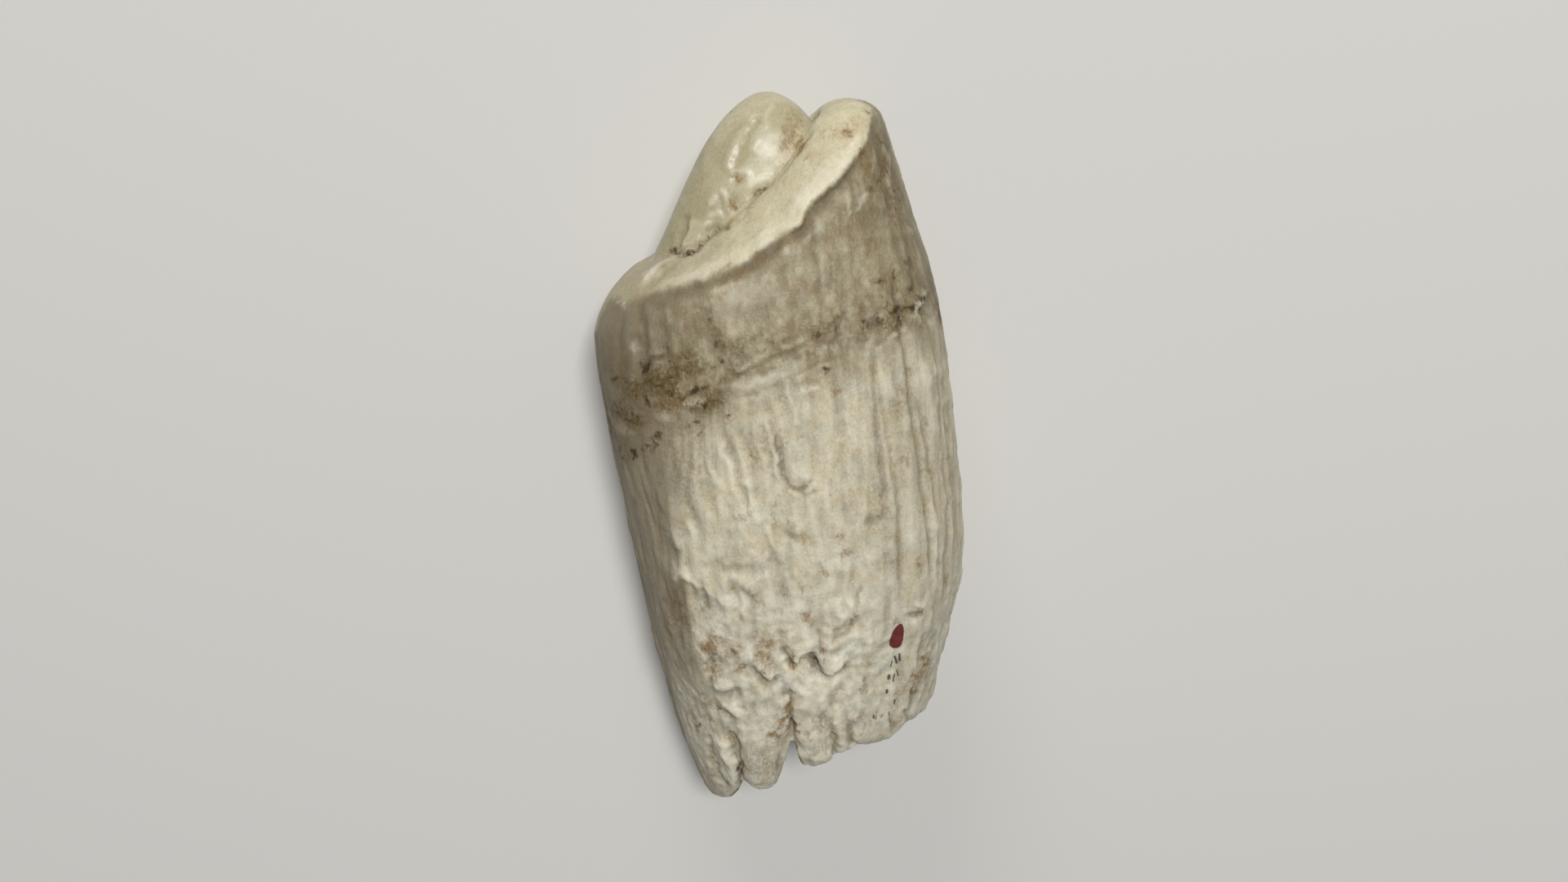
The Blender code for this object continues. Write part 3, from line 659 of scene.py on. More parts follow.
# Many spots are painted highlights: on the ring's bright band near the rim, on lit ridges, lumps and lobes,
# on the rims of the pitted patch and at the drips' ends. Others, such as the chips on the left shoulder and
# the cream streaks above the gum line, are pale marks of the tooth.
PALE_AND_HIGHLIGHT_SPOTS = spots(
    (1010, 212, 8, 30, 45, 0.7), (984, 240, 8, 24, 38, 1.2), (1006, 215, 10, 30, 45, 0.5),
    (1046, 174, 4, 9, 35, 1), (1035, 188, 4, 7, 45, 0.7), (850, 338, 32, 6, -18, 0.55),
    (948, 276, 30, 10, -38, 0.4), (798, 336, 14, 4.5, -45, 0.8), (761, 371, 2.6, 3.6, 0, 1),
    (750, 359, 3.4, 3.4, 0, 0.7), (848, 495, 14, 6, -18, 0.6), (812, 508, 9, 7, 0, 0.45),
    (952, 459, 13, 4, -22, 0.7), (950, 462, 30, 10, -22, 0.7), (905, 470, 20, 6, -22, 0.3),
    (1048, 850, 28, 26, 0, 0.6), (905, 365, 36, 20, -20, 0.40), (926, 467, 12, 3.4, -20, 0.6),
    (895, 372, 4, 4, 0, 0.6), (893, 380, 16, 12, 0, 0.22), (858, 427, 8, 3.4, -10, 0.5),
    (776, 426, 3.4, 6, 0, 0.5), (776, 468, 3, 6, 0, 0.5), (985, 545, 8, 4.5, -20, 0.6),
    (978, 568, 8, 8, 0, 0.55), (982, 580, 5, 7, 0, 0.4), (1128, 462, 8, 18, -10, 0.4),
    (1140, 499, 4, 7, 0, 0.7), (1145, 644, 4, 6, 0, 0.6), (1112, 414, 8, 6, 0, 0.35),
    (1142, 388, 5, 18, -18, 0.5), (887, 916, 4.5, 12, -22, 0.8), (880, 859, 5, 3.4, 0, 0.8),
    (904, 872, 4, 6, 0, 0.7), (962, 815, 4.5, 14, -20, 0.6), (852, 776, 4, 8, 0, 0.5),
    (895, 835, 14, 10, 0, 0.35), (985, 787, 12, 12, 0, 0.55), (1012, 776, 5, 7, 0, 0.5),
    (1036, 755, 4, 3.4, 0, 0.9), (1040, 744, 3.4, 4, 0, 0.6), (984, 816, 8, 2.4, 0, 0.6),
    (1025, 838, 18, 5, -40, 0.5), (1005, 868, 5, 6, 0, 0.6), (1004, 842, 18, 12, 0, 0.45),
    (1070, 740, 24, 60, 0, 0.25), (874, 264, 5, 3.4, 0, 0.36), (873, 246, 3.4, 7, 30, 0.36),
    (887, 238, 2.2, 7, 0, 0.315), (905, 208, 8, 2.4, 0, 0.27), (928, 221, 9, 3, -25, 0.36),
    (896, 262, 6, 2.4, 0, 0.27), (993, 150, 7, 9, 0, 0.3), (848, 712, 10, 3, 35, 0.5),
    (831, 704, 2.6, 10, -8, 0.6), (900, 712, 2.6, 12, -18, 0.7),
)
# Most spots are stains. Some are painted shade: (838, 588) darkens the root toward the left flank; (997,
# 811), (968, 804), (931, 823), (942, 832), (890, 848) and (894, 878) darken the undercut's wall and the
# crescents under the lumps; (858, 742) darkens a shaded facet; and (980, 300) paints the shadow under the
# rim's edge.
HEAVY_STAINS_AND_SHADE = spots(
    (930, 930, 28, 40, 0, 0.42), (1004, 905, 26, 24, 0, 0.42), (886, 930, 16, 36, 0, 0.36),
    (1060, 892, 36, 14, -20, 0.26), (1082, 620, 14, 120, -4, 0.34), (1108, 520, 18, 70, -6, 0.34),
    (838, 588, 26, 46, -8, 0.34), (950, 540, 80, 40, -15, 0.22), (1046, 270, 40, 60, -14, 0.20),
    (1134, 560, 12, 100, -4, 0.05), (997, 811, 14, 7, 45, 0.80), (968, 804, 4, 9, -30, 0.45),
    (931, 823, 4, 8, -35, 0.45), (942, 832, 9, 3, 0, 0.45), (890, 848, 16, 3, -8, 0.35),
    (894, 878, 14, 5, 35, 0.30), (812, 440, 30, 34, -10, 0.35), (866, 390, 16, 22, 0, 0.30),
    (770, 470, 22, 26, 0, 0.55), (1118, 372, 14, 16, 0, 0.60), (820, 532, 30, 12, -20, 0.40),
    (858, 742, 20, 12, 42, 0.35), (828, 750, 14, 32, -8, 0.50), (878, 806, 14, 26, -8, 0.20),
    (1088, 215, 18, 70, -14, 0.70), (980, 300, 60, 12, -32, 0.25), (792, 476, 34, 30, -15, 1.1),
    (752, 480, 14, 50, -10, 0.50), (765, 520, 24, 40, -15, 0.60), (850, 500, 50, 24, -22, 0.55),
    (840, 450, 50, 26, -10, 0.58), (895, 436, 42, 24, -22, 0.45), (1010, 405, 46, 16, -14, 0.35),
    (1098, 368, 40, 34, -14, 0.42), (1070, 400, 34, 14, -14, 0.55), (1108, 290, 14, 40, -14, 0.40),
)


@dataclass(frozen=True)
class WornFace:
    """The slope that the crown is worn to.

    Attributes:
        middle: a point of it, in millimetres.
        slope: how steeply it rises to the right, in degrees.
        core_middle: the middle of the core, along the slope.
        core_half: the core's half length along the slope and half width, in millimetres.
        core_foot: the height of the core's foot above the worn face, in millimetres.
    """

    middle: tuple[float, float, float] = (-4.4, 44.9, 22.4)
    slope: float = 32.0
    core_middle: float = 1.2
    core_half: tuple[float, float] = (18.7, 9.6)
    core_foot: float = -4

    @property
    def out(self) -> Numbers:
        """The way straight out of the worn face."""
        return np.array([-math.sin(math.radians(self.slope)), math.cos(math.radians(self.slope)), 0])

    def heights(self, points: Numbers) -> Numbers:
        """How far points lie above the worn face, in millimetres."""
        return (points - np.array(self.middle)) @ self.out

    def core_reach(self, points: Numbers) -> Numbers:
        """How far out points lie from the core's middle: 1 is at the groove round it."""
        way = np.array([self.out[1], -self.out[0], 0])
        offset = points - np.array(self.middle)
        along = np.abs(offset @ way - self.core_middle) / self.core_half[0]
        across = np.abs(offset[:, 2]) / self.core_half[1]
        return (along**2.5 + across**2.5) ** (1 / 2.5)


@dataclass(frozen=True)
class Places:
    """Where parts of the tooth lie: a part begins at a pair's first number and is full at its second.

    Attributes:
        crown: where the crown begins, in millimetres along Y.
        low_root: the lower root, in millimetres along Y.
        hollow_root: the root with the pulp cavity in it, in millimetres along Y.
        lobes: the lobes of the root's edge, in millimetres along Y.
        middle_height: of the tooth's axis, in millimetres.
        faded_ring: the ring's left part, which is less pale, in millimetres along X.
        shaded_crown: the crown's part that gets painted shade, in millimetres along X.
        shaded_crown_end: the left end of that part, in millimetres along X.
        left_flank: how far a face turns to the left to get the flank's painted shade, as its normal's X.
        right_flank: how far a face turns to the right to get the flank's painted shade, as its normal's X.
        soft_rim: where the rim's edge is soft, in pixels across.
        softest_rim: where it is softest, in pixels across.
        drawn_flank: where the left flank ends at a drawn line, in pixels down.
        sharp_flank: where that end is sharp, in pixels down, from its second number to its first.
        light_flank: where the flank's painted shade begins to lighten, in pixels down.
        lightest_flank: where it lightens more, in pixels down.
        flutes_across: the smooth flutes on the right, in pixels across.
        flutes_down: the smooth flutes on the right, in pixels down.
    """

    crown: float = 10
    low_root: tuple[float, float] = (-14, -26)
    hollow_root: tuple[float, float] = (-20, -30)
    lobes: tuple[float, float] = (-43, -50)
    middle_height: float = 22.5
    faded_ring: tuple[float, float] = (-9, -19)
    shaded_crown: tuple[float, float] = (0, -10)
    shaded_crown_end: tuple[float, float] = (-25, -16)
    left_flank: tuple[float, float] = (-0.12, -0.50)
    right_flank: tuple[float, float] = (0.12, 0.46)
    soft_rim: tuple[float, float] = (910, 830)
    softest_rim: tuple[float, float] = (800, 770)
    drawn_flank: tuple[float, float] = (540, 580)
    sharp_flank: tuple[float, float] = (700, 590)
    light_flank: tuple[float, float] = (720, 790)
    lightest_flank: tuple[float, float] = (795, 870)
    flutes_across: tuple[float, float] = (1056, 1078)
    flutes_down: tuple[float, float] = (790, 740)


@dataclass
class Skin:
    """The tooth's surface as numbers, one for each vertex.

    Attributes:
        points: places in millimetres.
        normals: the way out of the surface.
        view: the photograph's camera.
        worn: the worn face.
        places: where parts of the tooth lie.
        gum_plane: the plane of the gum line: its Y at the axis, and how Y grows with X and with Z.
        height: the relief so far, in millimetres.
        dirt_and_shade: the dirt and painted shade so far, below 0 where painted highlight goes.
    """

    points: Numbers
    normals: Numbers
    view: PhotoView
    worn: WornFace = WornFace()
    places: Places = Places()
    gum_plane: tuple[float, float, float] = (7.85, 0.264, 0.279)
    height: Numbers = field(init=False)
    dirt_and_shade: Numbers = field(init=False)

    def __post_init__(self) -> None:
        """Measures where each vertex lies on the tooth."""
        self.x, self.y, self.z = self.points.T
        self.height = np.zeros(len(self.points))
        self.dirt_and_shade = np.zeros(len(self.points))
        self.pixels = self.view.pixels(self.points)
        self.across, self.down = self.pixels.T
        self.facing = smooth_step(0.05, 0.32, self.view.seen(self.points, self.normals))
        jagged = self.pixels + shake(self.points, 1.4, (17.1, 18.6)) * 0.9
        self.worn_side = self._find_worn_side(jagged)
        self.cavity = self._find_cavity()
        self.flank_shade = self._find_flank_shade(jagged)
        on_crown = self.y > self.places.crown
        above_foot = self.worn.heights(self.points) > self.worn.core_foot
        core = smooth_step(1.04, 0.97, self.worn.core_reach(self.points))
        self.core = np.where(on_crown & above_foot, core, 0)
        self.ring = self.worn_side * on_crown * (1 - self.core)
        self.ring *= 1 - 0.6 * smooth_step(*self.places.faded_ring, self.x)
        self.above_gum = self._find_above_gum()
        self.shown = self.facing * (1 - self.cavity)

    def _find_worn_side(self, jagged: Numbers) -> Numbers:
        """Finds the worn face: inside the drawn rim where it shows, and by the way that faces turn elsewhere.

        Args:
            jagged: each vertex's pixel, shaken a little.

        Returns:
            1 on the worn face and 0 off it.
        """
        squarely = smooth_step(0.60, 0.80, self.normals @ self.worn.out)
        hidden = squarely * smooth_step(-9, -4, self.worn.heights(self.points))
        rim = nearest_on((*RIM_START, *RIM_LINE, *RIM_END), jagged)[1]
        blur = 2.6 + 3 * smooth_step(*self.places.soft_rim, self.across)
        blur += 4 * smooth_step(*self.places.softest_rim, self.across)
        return hidden + (smooth_step(blur, -blur, rim) - hidden) * self.facing

    def _find_cavity(self) -> Numbers:
        """Finds the pulp cavity: 1 where the hollow root's faces turn to its axis, and 0 elsewhere."""
        outward = self.points * np.array([1, 0, 1]) - np.array([0, 0, self.places.middle_height])
        outward /= np.linalg.norm(outward, axis=1)[:, None] + 1e-9
        turned_in = -(self.normals * outward).sum(axis=1)
        return smooth_step(0.0, 0.25, turned_in) * smooth_step(*self.places.hollow_root, self.y)

    def _find_flank_shade(self, jagged: Numbers) -> Numbers:
        """Finds the flanks that get painted shade: by the way that faces turn, and lower down on the left by
        a drawn line.

        Args:
            jagged: each vertex's pixel, shaken a little.

        Returns:
            1 on a flank and 0 off it.
        """
        places = self.places
        level = self.normals[:, 0]
        right = smooth_step(*places.right_flank, level) * 0.25
        turned = np.maximum(smooth_step(*places.left_flank, level), right)
        edge = nearest_on(FLANK_LINE, jagged)[1]
        reach = 3 + 57 * smooth_step(*places.sharp_flank, self.down)
        drawn = smooth_step(-reach, 4, edge)
        lighter = 0.10 * smooth_step(*places.light_flank, self.down)
        drawn *= 1 - lighter - 0.60 * smooth_step(*places.lightest_flank, self.down)
        lower = smooth_step(*places.drawn_flank, self.down) * self.facing * (level < 0.2)
        return turned + (drawn - turned) * lower

    def _find_above_gum(self) -> Numbers:
        """Finds how far each vertex lies above the wandering gum line, in millimetres."""
        gum_y, by_x, by_z = self.gum_plane
        wander = grain(self.points, (9, 30, 9), 3.1, 2) * 2.4
        return self.y - (gum_y + by_x * self.x + by_z * self.z) + wander

    def add(self, height: Numbers, dirt_and_shade: Numbers | float = 0.0) -> None:
        """Adds to the relief, in millimetres, and to the dirt and painted shade."""
        self.height += height
        self.dirt_and_shade += dirt_and_shade

    @property
    def side(self) -> Numbers:
        """Where the tooth's sides are, and not its worn face or pulp cavity."""
        on_crown = self.y > self.places.crown
        return (1 - self.worn_side * on_crown) * (1 - self.core) * (1 - self.cavity)

    @property
    def root(self) -> Numbers:
        """Where the root is: 1 well below the gum line and 0 well above it."""
        return smooth_step(3, -9, self.above_gum) * (1 - self.cavity)


@dataclass
class Carver:
    """Carves the relief into the skin, with dirt and painted shade for its hollows and painted highlight for
    its crests.
    """

    skin: Skin

    def carve_fibres(self) -> None:
        """Fine lines along the whole tooth, and coarser ones on the root."""
        skin = self.skin
        fine = grain(skin.points, (0.9, 14, 0.9), 1.3, 2)
        amount = skin.side * (0.4 + 0.6 * skin.root)
        skin.add(fine * 0.05 * amount, -fine * 0.08 * amount)
        coarse = grain(skin.points, (2.0, 30, 2.0), 4.2, 2)
        skin.add(coarse * 0.24 * amount, -coarse * 0.12 * amount)

    def carve_wrinkles(self) -> None:
        """Soft folds like drips, down the root: long ones above and short ones below."""
        skin, places = self.skin, self.skin.places
        calm = 1 - 0.7 * smooth_step(*places.lobes, skin.y)
        fluted = smooth_step(*places.flutes_across, skin.across) * smooth_step(*places.flutes_down, skin.down)
        fluted *= skin.shown
        low = smooth_step(*places.low_root, skin.y) * (1 - 0.75 * skin.flank_shade)
        amount = skin.root * skin.side * calm * (1 - 0.55 * fluted)
        bent = skin.points + grain(skin.points, (7, 12, 7), 7.7)[:, None] * 2.0
        long_folds = (0.3 - np.abs(grain(bent, (2.8, 19, 2.8), 9.1, 2)) * 1.4) * amount * (1 - low)
        skin.add(long_folds * 0.44, -long_folds * 0.16)
        short_folds = (0.3 - np.abs(grain(bent, (2.6, 5.5, 2.6), 5.1, 3)) * 1.4) * amount * low
        skin.add(short_folds * 0.34, -short_folds * 0.14)
        calm = calm * (1 - 0.4 * fluted) * (1 - 0.5 * skin.flank_shade)
        lumps = grain(skin.points, (4.2, 5.5, 4.2), 2.6, 4) * skin.side
        skin.add(lumps * 0.28 * (0.5 + 0.5 * skin.root + 0.4 * low) * calm, -lumps * 0.10)
        fine = grain(skin.points, (1.3, 1.9, 1.3), 14.6, 2) * skin.side
        skin.add(fine * 0.09 * (0.6 + 0.6 * low) * calm, -fine * 0.10)

    def carve_back_flutes(self) -> None:
        """Broad flutes on the sides and the back, which the photograph doesn't show."""
        skin = self.skin
        flutes = grain(skin.points, (3.6, 60, 3.6), 5.5)
        away = (1 - skin.facing) * skin.side
        skin.add(-np.abs(flutes) * 0.9 * away + 0.1 * away, np.abs(0.3 - flutes) * 0.1 * away)

    def carve_worn_face(self) -> None:
        """Soft dents on the ring and the core, and growth rings in the pulp cavity."""
        skin = self.skin
        dents = grain(skin.points, 5, 6.1, 2)
        skin.add(dents * 0.20 * (skin.ring + 0.3 * skin.core), 0)
        fine = grain(skin.points, 1.1, 8.4, 2)
        skin.add(fine * 0.06 * skin.ring, -fine * 0.15 * skin.ring)
        rings = np.sin(skin.y * 2.1 + grain(skin.points, 8, 1.9) * 3)
        skin.add(rings * 0.04 * skin.cavity, -rings * 0.12 * skin.cavity)

    def carve_gum_band(self) -> None:
        """The rough band above the gum line, all round the tooth."""
        skin = self.skin
        band = np.exp(-(((skin.above_gum - 4) / 5) ** 2)) * skin.side
        pits = grain(skin.points, (1.5, 1.8, 1.5), 3.7, 2)
        skin.add(-np.clip(pits, 0, 1) * 0.28 * band, np.clip(pits, 0, 1) * 0.8 * band)

    def carve_upper_side(self) -> None:
        """What the photograph shows on the upper side, line by line."""
        skin = self.skin
        shift = shake(skin.points, 3, (12.3, 21.9), 3)
        shaken = skin.pixels + shift * 4.6
        for stroke in (*WORN_STROKES, *SIDE_STROKES, *GUM_STROKES, *ROOT_STROKES):
            self._carve_stroke(stroke, shaken)
        for stroke in FLUTE_STROKES:
            self._carve_stroke(stroke, skin.pixels + shift * 1.6)
        # Pits take dirt and painted shade, and knobs painted highlight.
        for spot in PITS:
            strength = spot.spread(shaken) * skin.shown
            skin.add(-strength, strength * 0.8)
        for spot in KNOBS:
            strength = spot.spread(shaken) * skin.shown
            skin.add(strength, -strength * 0.5)

    def _carve_stroke(self, stroke: Stroke, places: Numbers) -> None:
        """Carves one stroke where it reaches.

        Args:
            stroke: what to carve.
            places: each vertex's pixel, shaken.
        """
        margin = 3 * max(stroke.width, stroke.fade if stroke.form is Form.LEDGE else 0)
        knots = np.array(stroke.line)
        low, high = knots.min(axis=0) - margin, knots.max(axis=0) + margin
        near = (self.skin.shown > 0.01) & np.all((places > low) & (places < high), axis=1)
        height, dirt_and_shade = stroke.carve(places[near])
        self.skin.height[near] += height * self.skin.shown[near]
        self.skin.dirt_and_shade[near] += dirt_and_shade * self.skin.shown[near]

    def carve(self) -> Numbers:
        """Carves everything.

        Returns:
            How far each vertex moves out of the surface, in millimetres.
        """
        self.carve_fibres()
        self.carve_wrinkles()
        self.carve_back_flutes()
        self.carve_worn_face()
        self.carve_gum_band()
        self.carve_upper_side()
        off_floor = smooth_step(0.2, 1.6, self.skin.z)
        return self.skin.height * off_floor


@dataclass
class Painter:
    """Works out the masks that the material reads."""

    skin: Skin

    def _spots(self, spots: Sequence[Spot], strength: float, seed: float) -> Numbers:
        """Spreads spots with ragged edges.

        Args:
            spots: the spots.
            strength: how far their edges wander, in pixels.
            seed: shifts the pattern.

        Returns:
            The strongest of the spots at each vertex.
        """
        ragged = self.skin.pixels + shake(self.skin.points, 1.6, (seed, seed + 9)) * strength
        total = np.zeros(len(ragged))
        for spot in spots:
            total = np.maximum(total, spot.spread(ragged))
        return total * self.skin.shown

    def _stains(self) -> dict[str, Numbers]:
        """The gum line's brown, with painted shade from some heavy spots, and the dark specks in it, by name.
        """
        skin = self.skin
        band = smooth_step(-1.5, 1.0, skin.above_gum) * smooth_step(14, 3, skin.above_gum)
        patchy = grain(skin.points, (6, 3.2, 6), 5.2, 3)
        heavy_and_shade = self._spots(HEAVY_STAINS_AND_SHADE, 12, 2.2)
        hidden = (1 - skin.facing) * band * (0.45 + patchy)
        gum_stain_and_shade = heavy_and_shade * (0.85 + 0.9 * patchy) + hidden + band * (patchy * 0.4 + 0.08)
        specks = np.clip(grain(skin.points, (1.6, 1.2, 1.6), 6.6, 2) * 2.4 - 0.40, 0, 1)
        specks *= skin.side * (0.8 * heavy_and_shade + 0.7 * hidden)
        dark = np.clip(self._spots(DARK_SPOTS, 6, 4.4), 0, 1) + specks
        return {"gum_stain_and_shade": np.clip(gum_stain_and_shade, 0, 1) * skin.side, "dark": np.clip(dark, 0, 1)}

    def masks(self) -> dict[str, Numbers]:
        """All masks by name, each between 0 and 1."""
        skin, places = self.skin, self.skin.places
        pores = np.clip(grain(skin.points, (2.6, 3.4, 2.6), 3.3, 3) * 1.6 - 0.42, 0, 1)
        rust_and_shade = self._spots(RUST_AND_SHADE_SPOTS, 8, 7.3) * 1.35 + pores * 0.5 * skin.side * skin.root
        crown_shade = smooth_step(*places.shaded_crown, skin.x) * smooth_step(*places.shaded_crown_end, skin.x)
        return {
            **self._stains(),
            "core": skin.core,
            "ring": skin.ring,
            "root": skin.root,
            "cavity": skin.cavity,
            # Painted shade on faces turned to the sides and on the crown's left part, partly the flanks' own
            # duller tone.
            "flank_shade": skin.flank_shade * skin.side + crown_shade * (0.35 * skin.ring + 0.34 * skin.core),
            "low": smooth_step(0, -34, skin.y + grain(skin.points, 9, 2.9, 2) * 9),
            "rust_and_shade": np.clip(rust_and_shade, 0, 1),
            "pale_and_highlight": np.clip(self._spots(PALE_AND_HIGHLIGHT_SPOTS, 6, 8.8), 0, 1),
            # Dirt and painted shade in hollows, and painted highlight on crests.
            "hollow_dirt_and_shade": np.clip(skin.dirt_and_shade, 0, 1.3) / 1.3,
            "crest_highlight": np.clip(-skin.dirt_and_shade * 1.6, 0, 1),
        }


@dataclass
class ToothSurface:
    """The tooth's visible surface, which replaces the solid.

    Attributes:
        node: the solid's object.
        view: the photograph's camera.
        cell: the size of the skin's faces, in metres.
        smoothing: how often the skin is smoothed before it is carved.
        kept: the share of faces left once the hidden side's are thinned.
        lobes_from: where the lobes of the root's edge begin along Y, in metres.
        lobe_ends_from: where their ends begin along Y, in metres.
        rounding: how often the lobes are smoothed, and how often their ends are as well.
        swelling: how far the lobes are swollen, in metres.
        swelling_over: the length along Y over which the swelling grows, in metres.
        turned_away: how squarely a hidden vertex faces the camera at most.
        dips: how much dirt and painted shade a fine dip and a broad one gather, and how much painted
            highlight a bump gets, for each millimetre of depth.
    """

    node: bpy.types.Object
    view: PhotoView
    cell: float = 0.00045
    smoothing: int = 9
    kept: float = 0.635
    lobes_from: float = -0.044
    lobe_ends_from: float = -0.048
    rounding: tuple[int, int] = (6, 13)
    swelling: float = 0.0004
    swelling_over: float = 0.008
    turned_away: float = -0.06
    dips: tuple[float, float] = (2.2, 0.9)

    def _skin_mesh(self) -> bpy.types.Object:
        """The solid's copy with an even, smooth skin."""
        mesh = bmesh.new()
        mesh.from_mesh(self.node.data)
        bmesh.ops.remove_doubles(mesh, verts=mesh.verts, dist=1e-6)
        data = bpy.data.meshes.new("tooth_surface")
        mesh.to_mesh(data)
        mesh.free()
        made = put_in_scene("tooth_surface", data)
        remesh = made.modifiers.new("even_skin", "REMESH")
        remesh.mode = "VOXEL"
        remesh.voxel_size = self.cell
        self._apply(made)
        mesh = bmesh.new()
        mesh.from_mesh(made.data)
        self._soften(mesh, mesh.verts, self.smoothing)
        self._round_lobes(mesh)
        mesh.to_mesh(made.data)
        mesh.free()
        return made

    @staticmethod
    def _soften(mesh: bmesh.types.BMesh, vertices: Any, times: int) -> None:
        """Smooths some of a mesh's vertices, some times over."""
        for _ in range(times):
            bmesh.ops.smooth_vert(
                mesh, verts=vertices, factor=0.5, use_axis_x=True, use_axis_y=True, use_axis_z=True
            )

    def _round_lobes(self, mesh: bmesh.types.BMesh) -> None:
        """Rounds the lobes of the root's edge, their ends most, and swells them by what that takes off."""
        for reach, times in ((self.lobes_from, self.rounding[0]), (self.lobe_ends_from, self.rounding[1])):
            self._soften(mesh, [vertex for vertex in mesh.verts if vertex.co.y < reach], times)
        mesh.normal_update()
        for vertex in mesh.verts:
            share = min(max((self.lobes_from - vertex.co.y) / self.swelling_over, 0), 1)
            vertex.co += vertex.normal * (share * self.swelling)

    def _thin_hidden_side(self, made: bpy.types.Object) -> None:
        """Gives the side that lies on the floor, and the pulp cavity, fewer faces."""
        points, normals = self._numbers(made.data)
        hidden = np.where(self.view.seen(points, normals) < self.turned_away)[0]
        group = made.vertex_groups.new(name="hidden")
        group.add([int(i) for i in hidden], 1.0, "REPLACE")
        thin = made.modifiers.new("thin", "DECIMATE")
        thin.ratio = self.kept
        thin.vertex_group = group.name
        self._apply(made)
        made.vertex_groups.clear()

    @staticmethod
    def _apply(made: bpy.types.Object) -> None:
        """Applies an object's modifiers."""
        shown = made.evaluated_get(bpy.context.evaluated_depsgraph_get())
        data = bpy.data.meshes.new_from_object(shown)
        old, made.data = made.data, data
        made.modifiers.clear()
        bpy.data.meshes.remove(old)
        data.name = "tooth_surface"

    @staticmethod
    def _numbers(data: bpy.types.Mesh) -> tuple[Numbers, Numbers]:
        """A mesh's vertices in millimetres, and their normals."""
        count = len(data.vertices)
        points, normals = np.empty(count * 3), np.empty(count * 3)
        data.vertices.foreach_get("co", points)
        data.vertices.foreach_get("normal", normals)
        return points.reshape(-1, 3) / MM, normals.reshape(-1, 3)

    @staticmethod
    def _averaged(data: bpy.types.Mesh, values: Numbers, times: int) -> Numbers:
        """Averages a value over neighbouring vertices, some times over.

        Args:
            data: the mesh.
            values: one value a vertex.
            times: how many times to average.

        Returns:
            The softened values.
        """
        ends = np.empty(len(data.edges) * 2, dtype=np.int64)
        data.edges.foreach_get("vertices", ends)
        first, second = ends.reshape(-1, 2).T
        count = np.bincount(first, minlength=len(values)) + np.bincount(second, minlength=len(values)) + 1
        for _ in range(times):
            total = values + np.bincount(first, values[second], len(values))
            values = (total + np.bincount(second, values[first], len(values))) / count
        return values

    def build(self) -> bpy.types.Object:
        """Makes the surface, carved and with its masks.

        Returns:
            The finished object.
        """
        made = self._skin_mesh()
        points, normals = self._numbers(made.data)
        skin = Skin(points, normals, self.view)
        heights = Carver(skin).carve()
        # Dips in the relief get dirt and painted shade, and bumps get painted highlight.
        fine = heights - self._averaged(made.data, heights, 8)
        broad = heights - self._averaged(made.data, heights, 60)
        dip_shading = (0.35 + 0.65 * skin.side - 0.55 * skin.root) * (1 - 0.6 * skin.flank_shade)
        skin.dirt_and_shade = skin.dirt_and_shade * 0.7 - (fine * self.dips[0] + broad * self.dips[1]) * dip_shading
        moved = points + normals * heights[:, None]
        moved[:, 2] = np.maximum(moved[:, 2], 0)
        made.data.vertices.foreach_set("co", (moved * MM).ravel())
        for name, values in Painter(skin).masks().items():
            mask = made.data.attributes.new(name, "FLOAT", "POINT")
            mask.data.foreach_set("value", values.astype(np.float32))
        made.data.update()
        self._thin_hidden_side(made)
        made.data.shade_smooth()
        made.data.update()
        return made


class Wire:
    """A socket of a material. Python's operators on it add Math nodes."""

    def __init__(self, shop: "Shop", socket: bpy.types.NodeSocket) -> None:
        """Wraps a node's output."""
        self.shop = shop
        self.socket = socket

    def _math(self, operation: str, *values: Any) -> "Wire":
        """A Math node over this socket and other values."""
        return self.shop.math(operation, *values)

    def __add__(self, other: Any) -> "Wire":
        """Adds."""
        return self._math("ADD", self, other)

    __radd__ = __add__

    def __sub__(self, other: Any) -> "Wire":
        """Takes away."""
        return self._math("SUBTRACT", self, other)

    def __rsub__(self, other: Any) -> "Wire":
        """Takes this away from a number."""
        return self._math("SUBTRACT", other, self)

    def __mul__(self, other: Any) -> "Wire":
        """Multiplies."""
        return self._math("MULTIPLY", self, other)

    __rmul__ = __mul__

    def __truediv__(self, other: Any) -> "Wire":
        """Divides."""
        return self._math("DIVIDE", self, other)

    def __pow__(self, other: Any) -> "Wire":
        """Raises to a power."""
        return self._math("POWER", self, other)

    def step(self, low: float, high: float) -> "Wire":
        """Rises smoothly from 0 at low to 1 at high."""
        return self.shop.node(
            "ShaderNodeMapRange",
            {"interpolation_type": "SMOOTHSTEP"},
            {"Value": self, "From Min": low, "From Max": high, "To Min": 0.0, "To Max": 1.0},
            "Result",
        )

    def clamped(self) -> "Wire":
        """Keeps this between 0 and 1."""
        return self.shop.math("ADD", self, 0.0, clamp=True)


